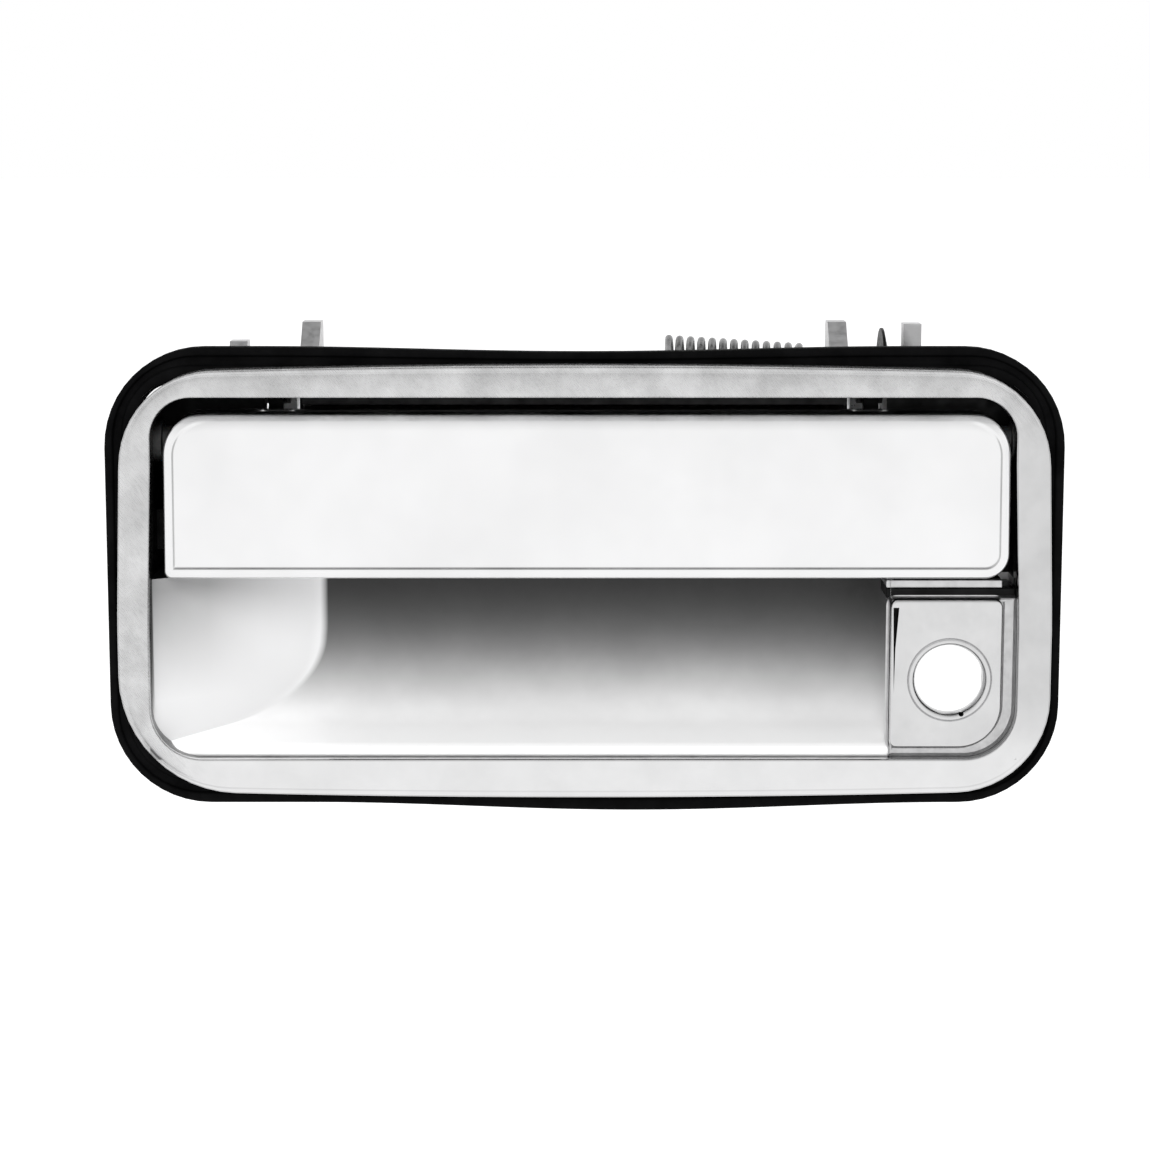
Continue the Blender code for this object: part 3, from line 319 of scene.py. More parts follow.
def boss_chrome():
    """The lock boss: satin on its face, with painted shade on its top, in its edge groove and in its
    notch.
    """
    look = Look("chrome_lock_boss", 1.0)
    cloud = look.noise(7, 3)
    face = look.clouded(cloud, grey(0.68), grey(0.76))
    # Painted shade: near black on the top, in the groove and in the notch, behind the face.
    sunk = look.step("Y", -8.7, -8.3)
    top = look.math("MULTIPLY", sunk, look.step("Z", -4.2, -3.6))
    groove = look.math("MULTIPLY", sunk, look.inside((60.7, 62.4), (-24.0, -4.0)))
    notch = look.math("MULTIPLY", sunk, look.inside((74.0, 75.6), (-27.4, -26.0)))
    dark = look.math("MAXIMUM", top, look.math("MAXIMUM", groove, notch))
    look.colour(look.mix(dark, face, grey(0.006)))
    look.roughness(look.between(look.noise(0.9, 5, (1, 1, 3)), 0.13, 0.24))
    look.bump(look.noise(0.35, 3), 0.006, 0.5)
    look.bump(look.noise(5, 1), 0.03, 0.5)
    return look.made


def channel_metal():
    """Thin plating in the narrow channel round the boss."""
    look = Look("chrome_channel", 1.0)
    look.colour(look.clouded(look.noise(3, 4), grey(0.60), grey(0.72)))
    look.roughness(look.between(look.noise(0.8, 4), 0.3, 0.45))
    look.bump(look.noise(0.4, 3), 0.02, 0.6)
    return look.made


def paddle_chrome():
    """Bright plating with faint polishing swirls and finger wear, with painted shade on its back
    below the nose.
    """
    look = Look("chrome_paddle", 1.0)
    cloud = look.noise(22, 3)
    face = look.clouded(cloud, grey(0.88), grey(0.95))
    # Painted shade: the back below the nose is near black.
    rear = look.step("Y", -1.2, 1.0)
    low = look.invert(look.step("Z", 26.0, 30.0))
    look.colour(look.mix(look.math("MULTIPLY", rear, low), face, grey(0.09)))
    swirl = look.noise(0.12, 4, (1, 1, 25), (0, math.radians(82), 0), 0.7)
    look.roughness(look.math("ADD", look.between(swirl, 0.0, 0.07),
                             look.between(look.noise(12, 3), 0.12, 0.2)))
    look.bump(swirl, 0.01, 0.3)
    look.bump(look.noise(15, 1), 0.03, 0.5)
    return look.made


def cast_zinc():
    """The die casting: dull plating with a cast skin, and painted shade inside the hollow and the
    recess above the boss.
    """
    look = Look("chrome_casting", 1.0)
    cloud = look.noise(8, 4)
    skin = look.clouded(cloud, grey(0.62), grey(0.71))
    # Painted shade: inward-facing faces of the hollow and of the recess are near black.
    hollow = look.math("MULTIPLY", look.inside((-86.2, 60.4), (-36.0, 37.3)),
                       look.invert(look.step("Y", 18.0, 18.4)))
    recess = look.math("MULTIPLY", look.inside((60.4, 85.8), (0.3, 37.3)),
                       look.invert(look.step("Y", 5.3, 5.7)))
    way = look.node("SeparateXYZ", {"Vector": look.facing}).outputs["Y"]
    inside = look.math("MULTIPLY", look.math("MAXIMUM", hollow, recess),
                       look.between(way, 1.0, 0.0, 0.04, 0.12))
    shadow = look.clouded(look.noise(4, 4), grey(0.010), grey(0.022))
    look.colour(look.mix(inside, skin, shadow))
    look.roughness(look.between(look.noise(1.4, 5), 0.34, 0.52))
    look.bump(look.noise(0.5, 4), 0.03, 0.7)
    look.bump(look.noise(4, 2), 0.05, 0.5)
    return look.made


def shade_painted_metal(name):
    """Plating painted near black as shade, behind the paddle's nose, under the lock ledge and on the
    paddle's fingers.
    """
    look = Look(name, 1.0)
    look.colour(look.clouded(look.noise(6, 3), grey(0.006), grey(0.02)))
    look.roughness(look.between(look.noise(1.5, 4), 0.3, 0.45))
    look.bump(look.noise(0.6, 3), 0.02, 0.5)
    return look.made


def rubber():
    """Black moulded rubber with a fine tooth and a dusty, slightly lighter bloom."""
    look = Look("moulded_rubber", 0.0, Specular_IOR_Level=0.05)
    look.colour(look.ramp(look.noise(6, 5), [(0.35, (0.0010, 0.0010, 0.0011)),
                                             (0.7, (0.0030, 0.0030, 0.0032))]))
    look.roughness(look.between(look.noise(1.1, 4), 0.55, 0.75))
    look.bump(look.noise(0.22, 4), 0.02, 0.6)
    look.bump(look.noise(3, 2), 0.05, 0.4)
    return look.made


def turned_steel():
    """Turned pin steel: rings of tool marks across X and a little oil darkening."""
    look = Look("turned_pin_steel", 1.0)
    look.colour(look.clouded(look.noise(3, 4), grey(0.42), grey(0.58)))
    rings = look.noise(0.12, 3, (1, 30, 30), rough=0.7)
    look.roughness(look.between(rings, 0.2, 0.36))
    look.bump(rings, 0.012, 0.5)
    return look.made


def zinc_plate():
    """Clear zinc plating with a faint spangle, and painted shade where it reaches into the housing.
    """
    look = Look("zinc_plated_steel", 1.0)
    cells = look.node("TexVoronoi", {"Vector": look.place, "Scale": 900.0})
    spangle = look.ramp(cells.outputs["Distance"], [(0.0, (0.50, 0.51, 0.53)),
                                                    (0.6, (0.60, 0.61, 0.62))])
    stain = look.between(look.noise(7, 4), 0.0, 0.45, 0.5, 0.8)
    plated = look.mix(stain, spangle, (0.42, 0.41, 0.36))
    # Painted shade: dark at Y below 9 mm, fading out by 15 mm, where the lever's arms reach in.
    look.colour(look.mix(look.step("Y", 9.0, 15.0), grey(0.07), plated))
    look.roughness(look.between(look.noise(1.0, 4), 0.26, 0.42))
    look.bump(look.noise(0.3, 3), 0.01, 0.5)
    return look.made


def spring_steel():
    """Drawn wire: bright lines along the coil's turns with dull patches."""
    look = Look("drawn_spring_wire", 1.0)
    look.colour(look.clouded(look.noise(2, 4), grey(0.2), grey(0.4)))
    look.roughness(look.between(look.noise(0.5, 4), 0.22, 0.4))
    look.bump(look.noise(0.15, 3), 0.01, 0.5)
    return look.made


def black_steel():
    """Phosphated spring steel."""
    look = Look("black_phosphate_steel", 1.0)
    look.colour(look.clouded(look.noise(1.5, 4), grey(0.010), grey(0.035)))
    look.roughness(look.between(look.noise(0.6, 4), 0.35, 0.55))
    look.bump(look.noise(0.2, 3), 0.01, 0.6)
    return look.made


def moulded_nylon(name, low, high):
    """Moulded nylon, slightly waxy."""
    look = Look(name, 0.0, Subsurface_Weight=0.12, Subsurface_Scale=0.002)
    look.colour(look.clouded(look.noise(5, 3), low, high))
    look.roughness(look.between(look.noise(0.8, 3), 0.38, 0.5))
    look.bump(look.noise(0.4, 3), 0.01, 0.5)
    return look.made


LOOKS = {
    "frame": frame_chrome(), "liner": liner_chrome(), "boss": boss_chrome(),
    "channel": channel_metal(), "paddle": paddle_chrome(), "cast": cast_zinc(),
    # The trough and finger looks are painted shade.
    "trough": shade_painted_metal("chrome_trough"), "finger": shade_painted_metal("chrome_finger"),
    "rubber": rubber(), "pin": turned_steel(),
    "zinc": zinc_plate(), "spring": spring_steel(), "black": black_steel(),
    "nylon": moulded_nylon("natural_nylon", (0.60, 0.58, 0.52), (0.70, 0.68, 0.61)),
    "bush": moulded_nylon("black_nylon", grey(0.008), grey(0.016)),
}


# Meshes

def shape(name, points, faces, sharp=32):
    """A mesh object from points in millimetres, smooth but for its sharp edges."""
    mesh = bpy.data.meshes.new(name)
    mesh.from_pydata([Vector(point) * MM for point in points], [], faces)
    made = bpy.data.objects.new(name, mesh)
    bpy.context.scene.collection.objects.link(made)
    tidy_mesh(made, sharp)
    return made


def tidy_mesh(made, sharp=32, flat_angle=0.0):
    """Weld a mesh, turn its faces outward and shade it smooth but for its sharp edges."""
    shell = bmesh.new()
    shell.from_mesh(made.data)
    bmesh.ops.remove_doubles(shell, verts=shell.verts, dist=0.002 * MM)
    if flat_angle:
        bmesh.ops.dissolve_limit(shell, angle_limit=math.radians(flat_angle),
                                 verts=shell.verts, edges=shell.edges)
    bmesh.ops.recalc_face_normals(shell, faces=shell.faces)
    shell.to_mesh(made.data)
    shell.free()
    made.data.shade_smooth()
    made.data.set_sharp_from_angle(angle=math.radians(sharp))


def dress(made, look, body, *nodes):
    """Give a piece its look and the body that it rides on."""
    made.data.materials.clear()
    made.data.materials.append(LOOKS[look])
    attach(made, body)
    if nodes:
        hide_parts(*nodes)
    return made


def ease(made, width, segments=3, angle=30):
    """Round a piece's edges."""
    bevel = made.modifiers.new("ease", "BEVEL")
    bevel.width = width * MM
    bevel.segments = segments
    bevel.limit_method = "ANGLE"
    bevel.angle_limit = math.radians(angle)
    bevel.use_clamp_overlap = True
    bevel.harden_normals = True
    return made


def combine(target, tools):
    """Carve tools out of a target and use them up."""
    for tool in tools:
        change = target.modifiers.new(tool.name, "BOOLEAN")
        change.operation = "DIFFERENCE"
        change.object = tool
    graph = bpy.context.evaluated_depsgraph_get()
    mesh = bpy.data.meshes.new_from_object(target.evaluated_get(graph))
    target.modifiers.clear()
    target.data = mesh
    for tool in tools:
        bpy.data.objects.remove(tool, do_unlink=True)
    tidy_mesh(target)
    return target


def arc(centre, radius, start, end, steps):
    """Points on an arc, angles in degrees, both ends included."""
    turns = np.radians(np.linspace(start, end, steps + 1))
    return np.column_stack((centre[0] + radius * np.cos(turns),
                            centre[1] + radius * np.sin(turns)))


def outline(box, corners, rise=None, inset=0.0, arc_steps=12, long_steps=40, side_steps=10):
    """A rounded rectangle's points in X and Z, counted the same way at every size."""
    left, right = box[0] + inset, box[1] - inset
    low, high = box[2] + inset, box[3] - inset
    bl, br, tr, tl = [max(corner - inset, 0.02) for corner in corners]
    parts = [arc((left + bl, low + bl), bl, 180, 270, arc_steps)]
    parts.append(straight((left + bl, low), (right - br, low), long_steps))
    parts.append(arc((right - br, low + br), br, 270, 360, arc_steps))
    parts.append(straight((right, low + br), (right, high - tr), side_steps))
    parts.append(arc((right - tr, high - tr), tr, 0, 90, arc_steps))
    parts.append(straight((right - tr, high), (left + tl, high), long_steps))
    parts.append(arc((left + tl, high - tl), tl, 90, 180, arc_steps))
    parts.append(straight((left, high - tl), (left, low + bl), side_steps))
    points = np.vstack(parts)
    if rise is not None:
        points[:, 1] += rise(points[:, 0], np.sign(points[:, 1]))
    return points


def straight(start, end, steps):
    """The points of a straight edge without its ends."""
    shares = np.linspace(0, 1, steps + 1)[1:-1, None]
    return np.array(start) * (1 - shares) + np.array(end) * shares


def at_depth(points, depth):
    """X and Z points, set at a depth Y that is one number or one for each."""
    return np.column_stack((points[:, 0], np.broadcast_to(depth, len(points)), points[:, 1]))


def loft(name, rings, closed=False, capped=(False, False), sharp=32):
    """Skin over rings that have the same number of points."""
    count = len(rings[0])
    faces = []
    spans = len(rings) if closed else len(rings) - 1
    for span in range(spans):
        here, there = span * count, (span + 1) % len(rings) * count
        for index in range(count):
            after = (index + 1) % count
            faces.append((here + index, here + after, there + after, there + index))
    if capped[0]:
        faces.append(tuple(range(count)))
    if capped[1]:
        start = (len(rings) - 1) * count
        faces.append(tuple(range(start, start + count)))
    return shape(name, np.vstack(rings), faces, sharp)


def sheet(name, grid, sharp=32):
    """Skin over rows of points."""
    rows, columns = grid.shape[:2]
    faces = []
    for row in range(rows - 1):
        for column in range(columns - 1):
            here = row * columns + column
            faces.append((here, here + 1, here + columns + 1, here + columns))
    return shape(name, grid.reshape(-1, 3), faces, sharp)


def prism(name, flat, low, high, axis):
    """A flat outline pushed along an axis: (Y, Z) points for X, (X, Z) points for Y."""
    flat = np.asarray(flat, float)
    rings = []
    for place in (low, high):
        across = np.full(len(flat), float(place))
        if axis == "X":
            rings.append(np.column_stack((across, flat)))
        else:
            rings.append(np.column_stack((flat[:, 0], across, flat[:, 1])))
    return loft(name, rings, capped=(True, True))


def eased(profile, radius, closed=True):
    """A profile with its corners rounded off in three steps."""
    profile = [np.array(point, float) for point in profile]
    made = []
    count = len(profile)
    for index, corner in enumerate(profile):
        if not closed and index in (0, count - 1):
            made.append(corner)
            continue
        before = profile[index - 1] - corner
        after = profile[(index + 1) % count] - corner
        reach = min(radius, np.linalg.norm(before) * 0.45, np.linalg.norm(after) * 0.45)
        start = corner + before / np.linalg.norm(before) * reach
        end = corner + after / np.linalg.norm(after) * reach
        for share in (0, 0.33, 0.67, 1):
            made.append(start * (1 - share) ** 2 + 2 * corner * share * (1 - share)
                        + end * share ** 2)
    return np.array(made)


def turned(name, profile, origin, direction, steps=72, closed=True):
    """A (radius, height) profile turned about a line. An open one ends on the axis."""
    profile = np.asarray(profile, float)
    turns = np.linspace(0, 2 * math.pi, steps, endpoint=False)
    rings = [np.column_stack((radius * np.cos(turns), radius * np.sin(turns),
                              np.full(steps, height))) for radius, height in profile]
    made = loft(name, rings, closed=closed, sharp=40)
    turn = Vector((0, 0, 1)).rotation_difference(Vector(direction)).to_matrix().to_4x4()
    made.data.transform(Matrix.Translation(Vector(origin) * MM) @ turn)
    return made


def tube(name, path, radius, sides=14):
    """A round wire along a path, with domed ends."""
    path = np.asarray(path, float)
    along = np.gradient(path, axis=0)
    along /= np.linalg.norm(along, axis=1)[:, None]
    side = np.cross(along[0], (0.3, 0.2, 0.9))
    turns = np.linspace(0, 2 * math.pi, sides, endpoint=False)
    rings = []
    for place, ahead in zip(path, along):
        side = side - ahead * (side @ ahead)
        side /= np.linalg.norm(side)
        over = np.cross(ahead, side)
        rings.append(place + radius * (np.cos(turns)[:, None] * side
                                       + np.sin(turns)[:, None] * over))
    for end, out in ((0, -along[0]), (-1, along[-1])):
        middle = path[end]
        domes = [middle + (rings[end] - middle) * math.cos(lean) + out * radius * math.sin(lean)
                 for lean in np.radians((35, 65, 88))]
        rings = domes[::-1] + rings if end == 0 else rings + domes
    return loft(name, rings, capped=(True, True))


def from_node(node, name, flat_angle=0.6):
    """A new piece that starts from a CAD node's shape, with its facets merged."""
    made = bpy.data.objects.new(name, frame["nodes"][node].data.copy())
    bpy.context.scene.collection.objects.link(made)
    tidy_mesh(made, 30, flat_angle)
    return made


# Frame and gasket

def crown(x, side):
    """How far the frame's top and bottom edges bow out from its middle height."""
    return side * 1.5 * (1 - np.minimum(1, np.abs(x) / FRAME[1]) ** 2)


def sag(x, side):
    """How far the gasket's top edge and bottom edge drop along the middle."""
    span = 0.7 * FRAME[1]
    deep = np.where(side > 0, 1.0, 1.6)
    x = x - np.where(side > 0, 0, 10)
    return np.where(np.abs(x) > span, 0, -deep * np.cos(np.pi * x / (2 * span)) ** 2)


def taper(points, inset=0.0):
    """Draw an outline's ends in towards its top, and all the way up by inset."""
    draw = inset + 1.0 * np.clip((points[:, 1] + 8) / 33, 0, 1)
    share = np.clip(np.abs(points[:, 0]) / 60 - 0.2, 0, 1)
    return np.column_stack((points[:, 0] - np.sign(points[:, 0]) * draw * share, points[:, 1]))


def frame_ring():
    """The bright frame: outer wall, fillet, fine crease, crowned face and inner edge."""
    outer = taper(outline(FRAME, (FRAME_LOWER_LEFT_CORNER,) + (FRAME_CORNER,) * 3, crown), 0.3)
    inner = taper(outline(OPENING, (OPENING_CORNER,) * 2 + (OPENING_TOP_CORNER,) * 2))
    profile = [(0.0, -3.3), (0.0, -5.5), (0.0, -8.2), (0.008, -8.75), (0.025, -9.05),
               (0.05, -9.22), (0.08, -9.3), (0.11, -9.33), (0.14, -9.31), (0.165, -9.22),
               (0.185, -9.13), (0.2, -9.12), (0.22, -9.16), (0.26, -9.3), (0.4, -9.62),
               (0.6, -9.91), (0.78, -10.12), (0.89, -10.2), (0.935, -10.18), (0.97, -10.04),
               (0.99, -9.8), (1.0, -9.45), (1.0, -7.0), (1.0, -4.15), (0.9, -4.1), (0.5, -3.35)]
    rings = [at_depth(outer * (1 - share) + inner * share, depth) for share, depth in profile]
    ring = loft("housing_frame", rings, closed=True, sharp=40)
    return dress(ring, "frame", "housing", "housing")


def gasket():
    """The seal: a rounded outer bead, a groove beside the frame and ribs on the back."""
    outer = outline(GASKET, (20.0,) * 4, sag)
    inner = outline(GASKET_HOLE, (7.8,) * 4)
    profile = [(0.02, 0.0), (0.0, -0.25), (0.0, -2.0), (0.012, -2.55), (0.045, -2.9),
               (0.09, -3.0), (0.2, -3.0), (0.235, -2.92), (0.26, -2.6), (0.275, -2.25),
               (0.31, -2.15), (0.5, -2.15), (0.53, -2.6), (0.58, -2.95), (0.64, -3.0),
               (0.95, -3.0), (1.0, -2.8), (1.0, -0.3), (0.97, 0.0), (0.8, 0.0), (0.77, -0.5),
               (0.6, -0.5), (0.57, 0.0), (0.4, 0.0), (0.37, -0.5), (0.2, -0.5), (0.17, 0.0)]
    rings = [at_depth(outer * (1 - share) + inner * share, depth) for share, depth in profile]
    dress(loft("gasket_seal", rings, closed=True, sharp=50), "rubber", "housing", "gasket")


# Pocket, lock boss and casting

def pocket_rows():
    """The pocket's side profile from its front ledge up: Y, Z and how much end wall shows."""
    rows = [(LIP_Y, OPENING[2] + 0.02, 1), (LIP_Y, -34.4, 1), (LIP_Y, -33.75, 1),
            (LIP_Y + 0.08, -33.45, 1), (LIP_Y + 0.3, -33.26, 1), (LIP_Y + 0.7, -33.1, 1)]
    for y in np.linspace(-5.6, 2.9, 14):
        rows.append((y, -33.08 + (y - LIP_Y) * math.tan(FLOOR_SLOPE), 1))
    for y, z in arc(FILLET_CENTRE, FILLET - 0.12, -77, 0, 40):
        rows.append((y, z, 1))
    for z in np.linspace(-13.2, POCKET_TOP - 0.8, 12):
        rows.append((POCKET_BACK, z, 1))
    rows += [(POCKET_BACK, POCKET_TOP - 0.25, 0.99), (POCKET_BACK, POCKET_TOP, 0.93),
             (POCKET_BACK, POCKET_TOP, 0.0), (POCKET_BACK, 22.0, 0.0)]
    return rows


def pocket_columns():
    """X places across the pocket, close together over the end wall."""
    return np.concatenate((np.linspace(OPENING[0] + 0.02, -50, 56), np.linspace(-48, 54, 40)))


def smooth_min(first, second, reach):
    """The smaller of two values, run into each other over a reach."""
    share = np.clip(0.5 + 0.5 * (second - first) / reach, 0, 1)
    return second * (1 - share) + first * share - reach * share * (1 - share)


def draft(depth):
    """How far the wall beside the lock boss leans away behind the boss's face."""
    return DRAFT * (depth - BOSS_FRONT)


def pocket_liner():
    """The plated pocket: floor, fillet and back wall, run softly into the end wall."""
    columns = pocket_columns()
    wall = LIP_Y + (columns - OPENING[0]) / math.tan(END_SLOPE)
    grid = []
    for y, z, share in pocket_rows():
        blended = smooth_min(np.full_like(columns, y), wall, 1.6)
        blended = np.maximum(blended, min(y, LIP_Y))
        depth = np.where(share > 0.5, blended * share + LIP_Y * (1 - share), y) - 0.06
        row = [(x, each, z) for x, each in zip(columns, depth)]
        base = depth[-1]
        radius = min(0.8, max(0.05, (base - LIP_Y) * 0.5))
        right = BOSS[0] - 0.04 + draft(base)
        for turn in np.radians(np.linspace(0, 90, 9)):
            row.append((right - radius + radius * math.sin(turn),
                        base - radius + radius * math.cos(turn), z))
        front = min(base - radius, LIP_Y + 0.5)
        row.append((BOSS[0] - 0.04 + draft(front), front, z))
        grid.append(row)
    liner = sheet("housing_pocket", np.array(grid), sharp=50)
    thicken = liner.modifiers.new("plate", "SOLIDIFY")
    thicken.thickness = 0.05 * MM
    thicken.offset = 0
    return dress(liner, "liner", "housing")


def edge_distance(points, box, corners):
    """How far points in X and Z are outside a rounded rectangle, below 0 inside it."""
    centre = np.array(((box[0] + box[1]) / 2, (box[2] + box[3]) / 2))
    half = np.array(((box[1] - box[0]) / 2, (box[3] - box[2]) / 2))
    offset = points - centre
    low = np.where(offset[:, 0] < 0, corners[0], corners[1])
    high = np.where(offset[:, 0] < 0, corners[3], corners[2])
    radius = np.where(offset[:, 1] < 0, low, high)
    reach = np.abs(offset) - half + radius[:, None]
    outside = np.linalg.norm(np.maximum(reach, 0), axis=1)
    return np.minimum(reach.max(axis=1), 0) + outside - radius


def ray_ring(centre, box, corners, inset, count=320):
    """Points round centre that lie inset millimetres inside a rounded rectangle."""
    turns = np.linspace(0, 2 * math.pi, count, endpoint=False)
    ways = np.column_stack((np.cos(turns), np.sin(turns)))
    near, far = np.zeros(count), np.full(count, 60.0)
    for _ in range(40):
        middle = (near + far) / 2
        inside = edge_distance(np.array(centre) + ways * middle[:, None], box, corners) < -inset
        near = np.where(inside, middle, near)
        far = np.where(inside, far, middle)
    return np.array(centre) + ways * near[:, None]


def circle(centre, radius, count=320):
    """Points that match ray_ring's, on a circle."""
    turns = np.linspace(0, 2 * math.pi, count, endpoint=False)
    return np.array(centre) + radius * np.column_stack((np.cos(turns), np.sin(turns)))


def boss_box(depth):
    """The boss's outline at a depth, with its drafted left side."""
    return (BOSS[0] + draft(depth), *BOSS[1:])


def lock_boss():
    """The pad round the lock bore, with a rounded rim and a rolled lip into the bore."""
    rings = [at_depth(ray_ring(BORE, boss_box(BOSS_BACK), BOSS_CORNERS, 0.0), BOSS_BACK)]
    for inset, depth in ((0.0, BOSS_FRONT + 4), (0.0, BOSS_FRONT + 0.9), (0.06, BOSS_FRONT + 0.5),
                         (0.22, BOSS_FRONT + 0.2), (0.45, BOSS_FRONT + 0.05),
                         (0.75, BOSS_FRONT)):
        rings.append(at_depth(ray_ring(BORE, boss_box(depth), BOSS_CORNERS, inset), depth))
    start = ray_ring(BORE, BOSS, BOSS_CORNERS, 0.75)
    end = circle(BORE, BORE_RADIUS + 1.75)
    for share in (0.15, 0.35, 0.6, 0.85, 1.0):
        rings.append(at_depth(start * (1 - share) + end * share, BOSS_FRONT))
    for radius, depth in ((1.68, 0.08), (1.58, 0.32), (1.46, 0.08), (1.3, -0.14), (1.05, -0.24),
                          (0.8, -0.18), (0.55, 0.02), (0.35, 0.4), (0.15, 0.9), (0.0, 1.5),
                          (0.0, BOSS_PLATE - 0.2), (0.2, BOSS_PLATE)):
        rings.append(at_depth(circle(BORE, BORE_RADIUS + radius), BOSS_FRONT + depth))
    inner = ray_ring(BORE, BOSS, BOSS_CORNERS, 2.0)
    rings.append(at_depth(inner, BOSS_FRONT + BOSS_PLATE))
    rings.append(at_depth(inner, BOSS_BACK))
    boss = loft("housing_lock_boss", rings, closed=True, sharp=40)
    wedge = [(60.95, -4.7), (61.25, -22.0), (61.45, -13.0), (62.1, -4.7)]
    groove = prism("edge_groove", wedge, BOSS_FRONT - 1, BOSS_FRONT + 1.4, "Y")
    combine(boss, [bore_notch(), groove])
    return dress(boss, "boss", "housing")


def bore_notch():
    """The small pit in the bore's lip that keys a lock cylinder."""
    flat = arc((BORE[0] + 2.4, BORE[1] - BORE_RADIUS - 0.15), 0.5, 0, 342, 19)
    return prism("bore_notch", flat, BOSS_FRONT - 1, BOSS_FRONT + 1.6, "Y")


def lock_ledge():
    """The narrow ledge above the lock boss, with a block under it that is painted near black as the
    shade of the hollow there.
    """
    flat = outline((BOSS[0] - 0.7, BOSS[1] + 0.1, *LEDGE), (0.5, 0.3, 0.3, 0.5),
                   None, 0.0, 6, 20, 2)
    ledge = prism("housing_lock_ledge", flat, LEDGE_FRONT, 5.0, "Y")
    dress(ease(ledge, 0.3, 3, 50), "channel", "housing")
    back = [(-6.0, -3.35), (-6.0, -1.25), (5.0, -1.1), (5.0, -3.35)]
    shade = prism("housing_lock_shade", back, BOSS[0] - 0.6, OPENING[1] - 0.1, "X")
    dress(ease(shade, 0.3, 2, 50), "trough", "housing")


def channel_floor():
    """The floor and far wall of the channel round the boss, with a fillet between them."""
    outer_box = (BOSS[0] - 0.02, OPENING[1] + 0.02, OPENING[2] - 0.02, BOSS[3] + 0.2)
    corners = (0.5, 10.0, 0.5, 0.5)
    rings = []
    for inset, depth in ((-0.3, CHANNEL_Y + 0.5), (0.0, CHANNEL_Y - 1.2), (0.03, CHANNEL_Y - 0.8),
                         (0.2, CHANNEL_Y - 0.3), (0.5, CHANNEL_Y), (0.9, CHANNEL_Y + 0.06)):
        rings.append(at_depth(ray_ring(BORE, outer_box, corners, inset), depth))
    rings.append(at_depth(ray_ring(BORE, BOSS, BOSS_CORNERS, -0.6), CHANNEL_Y + 0.12))
    rings.append(at_depth(ray_ring(BORE, BOSS, BOSS_CORNERS, -0.3), CHANNEL_Y + 0.5))
    rings.append(at_depth(ray_ring(BORE, BOSS, BOSS_CORNERS, 0.3), CHANNEL_Y + 0.6))
    rings.append(at_depth(ray_ring(BORE, BOSS, BOSS_CORNERS, 0.3), CHANNEL_Y + 1.2))
    rings.append(at_depth(ray_ring(BORE, outer_box, corners, 0.6), CHANNEL_Y + 1.2))
    dress(loft("housing_channel", rings, closed=True), "channel", "housing")


def casting():
    """The tub behind the frame, with its lugs, tabs and stud bosses, edges eased."""
    tub = from_node("housing", "housing_casting")
    shell = bmesh.new()
    shell.from_mesh(tub.data)
    bmesh.ops.bisect_plane(shell, geom=[*shell.verts, *shell.edges, *shell.faces],
                           plane_co=(0, CASTING_FRONT * MM, 0), plane_no=(0, -1, 0), clear_outer=True)
    rim = []
    for vertex in shell.verts:
        x, y, z = vertex.co / MM
        if BOSS[0] - 0.1 < x < BOSS[0] + DRAFTED_WALL and z < 0 and y < POCKET_BACK + 0.1:
            vertex.co.x += draft(y) * MM
        left, right, bottom, top = GASKET_HOLE
        out = x < left - 0.6 or x > right + 0.6 or z < bottom - 0.6 or z > top + 0.6
        if out and y < -3.2:
            rim.append(vertex)
    bmesh.ops.delete(shell, geom=rim, context="VERTS")
    shell.to_mesh(tub.data)
    shell.free()
    tidy_mesh(tub, 30)
    dress(ease(tub, 0.35, 2, 40), "cast", "housing")


def trough():
    """The curved wall behind the paddle's nose, seen through the gap above the paddle."""
    inner, outer = NOSE + 0.8, NOSE + 1.3
    flat = np.vstack((arc(HINGE, inner, 0, 88, 24), arc(HINGE, outer, 88, 0, 24)))
    made = prism("housing_trough", flat, LUGS[0] + 0.15, LUGS[1] - 0.15, "X")
    dress(ease(made, 0.2, 2, 40), "trough", "housing")


# Paddle

def paddle_front(z):
    """The face's depth at a height: a flat face that leans out, under a round nose."""
    lean = np.clip((HINGE[1] - z) / (HINGE[1] - PADDLE[2]), 0, 1)
    flat = HINGE[0] - NOSE - lean
    above = np.clip(z - HINGE[1], 0, NOSE)
    bulge = np.maximum(1 - (above / NOSE) ** NOSE_POWER, 0) ** (1 / NOSE_POWER)
    nose = HINGE[0] - NOSE * bulge
    return np.where(z > HINGE[1], nose, flat)


def paddle_back(z):
    """The back's depth at a height, from the lip up to the nose."""
    heights = (1.0, 1.4, 6.0, 22.6, HINGE[1])
    depths = (-1.4, -0.6, 3.3, 3.3, HINGE[0] + NOSE)
    above = np.clip(z - HINGE[1], 0, NOSE)
    nose = HINGE[0] + np.sqrt(np.maximum(NOSE ** 2 - above ** 2, 0))
    return np.where(z > HINGE[1], nose, np.interp(z, heights, depths))


def rim_drop(inset):
    """How far the face falls back near its left, right and bottom edges."""
    places = (0.0, 0.08, 0.22, 0.5, 1.2, 1.6, 1.75, 1.9, 2.1, 2.3, 2.45, 2.6, 2.9, 3.5)
    drops = (1.4, 0.6, 0.2, -0.02, -0.22, -0.36, -0.38, -0.33, -0.12, 0.08, 0.16, 0.17, 0.09, 0.0)
    return np.interp(inset, places, drops)


def paddle_rings():
    """Insets that follow the nose's curve, the rim and the flat face."""
    nose = [NOSE * (1 - math.cos(turn)) for turn in np.radians(np.arange(0, 91, 5))]
    rim = [0.08, 0.22, 0.35, 0.5, 0.8, 1.2, 1.6, 1.75, 1.9, 2.0, 2.1, 2.2, 2.3, 2.45, 2.6, 2.9, 3.5]
    return sorted(set(np.round(nose + rim + [8.0, 10.0, 12.0, 14.0, 15.6, 16.3], 3)))


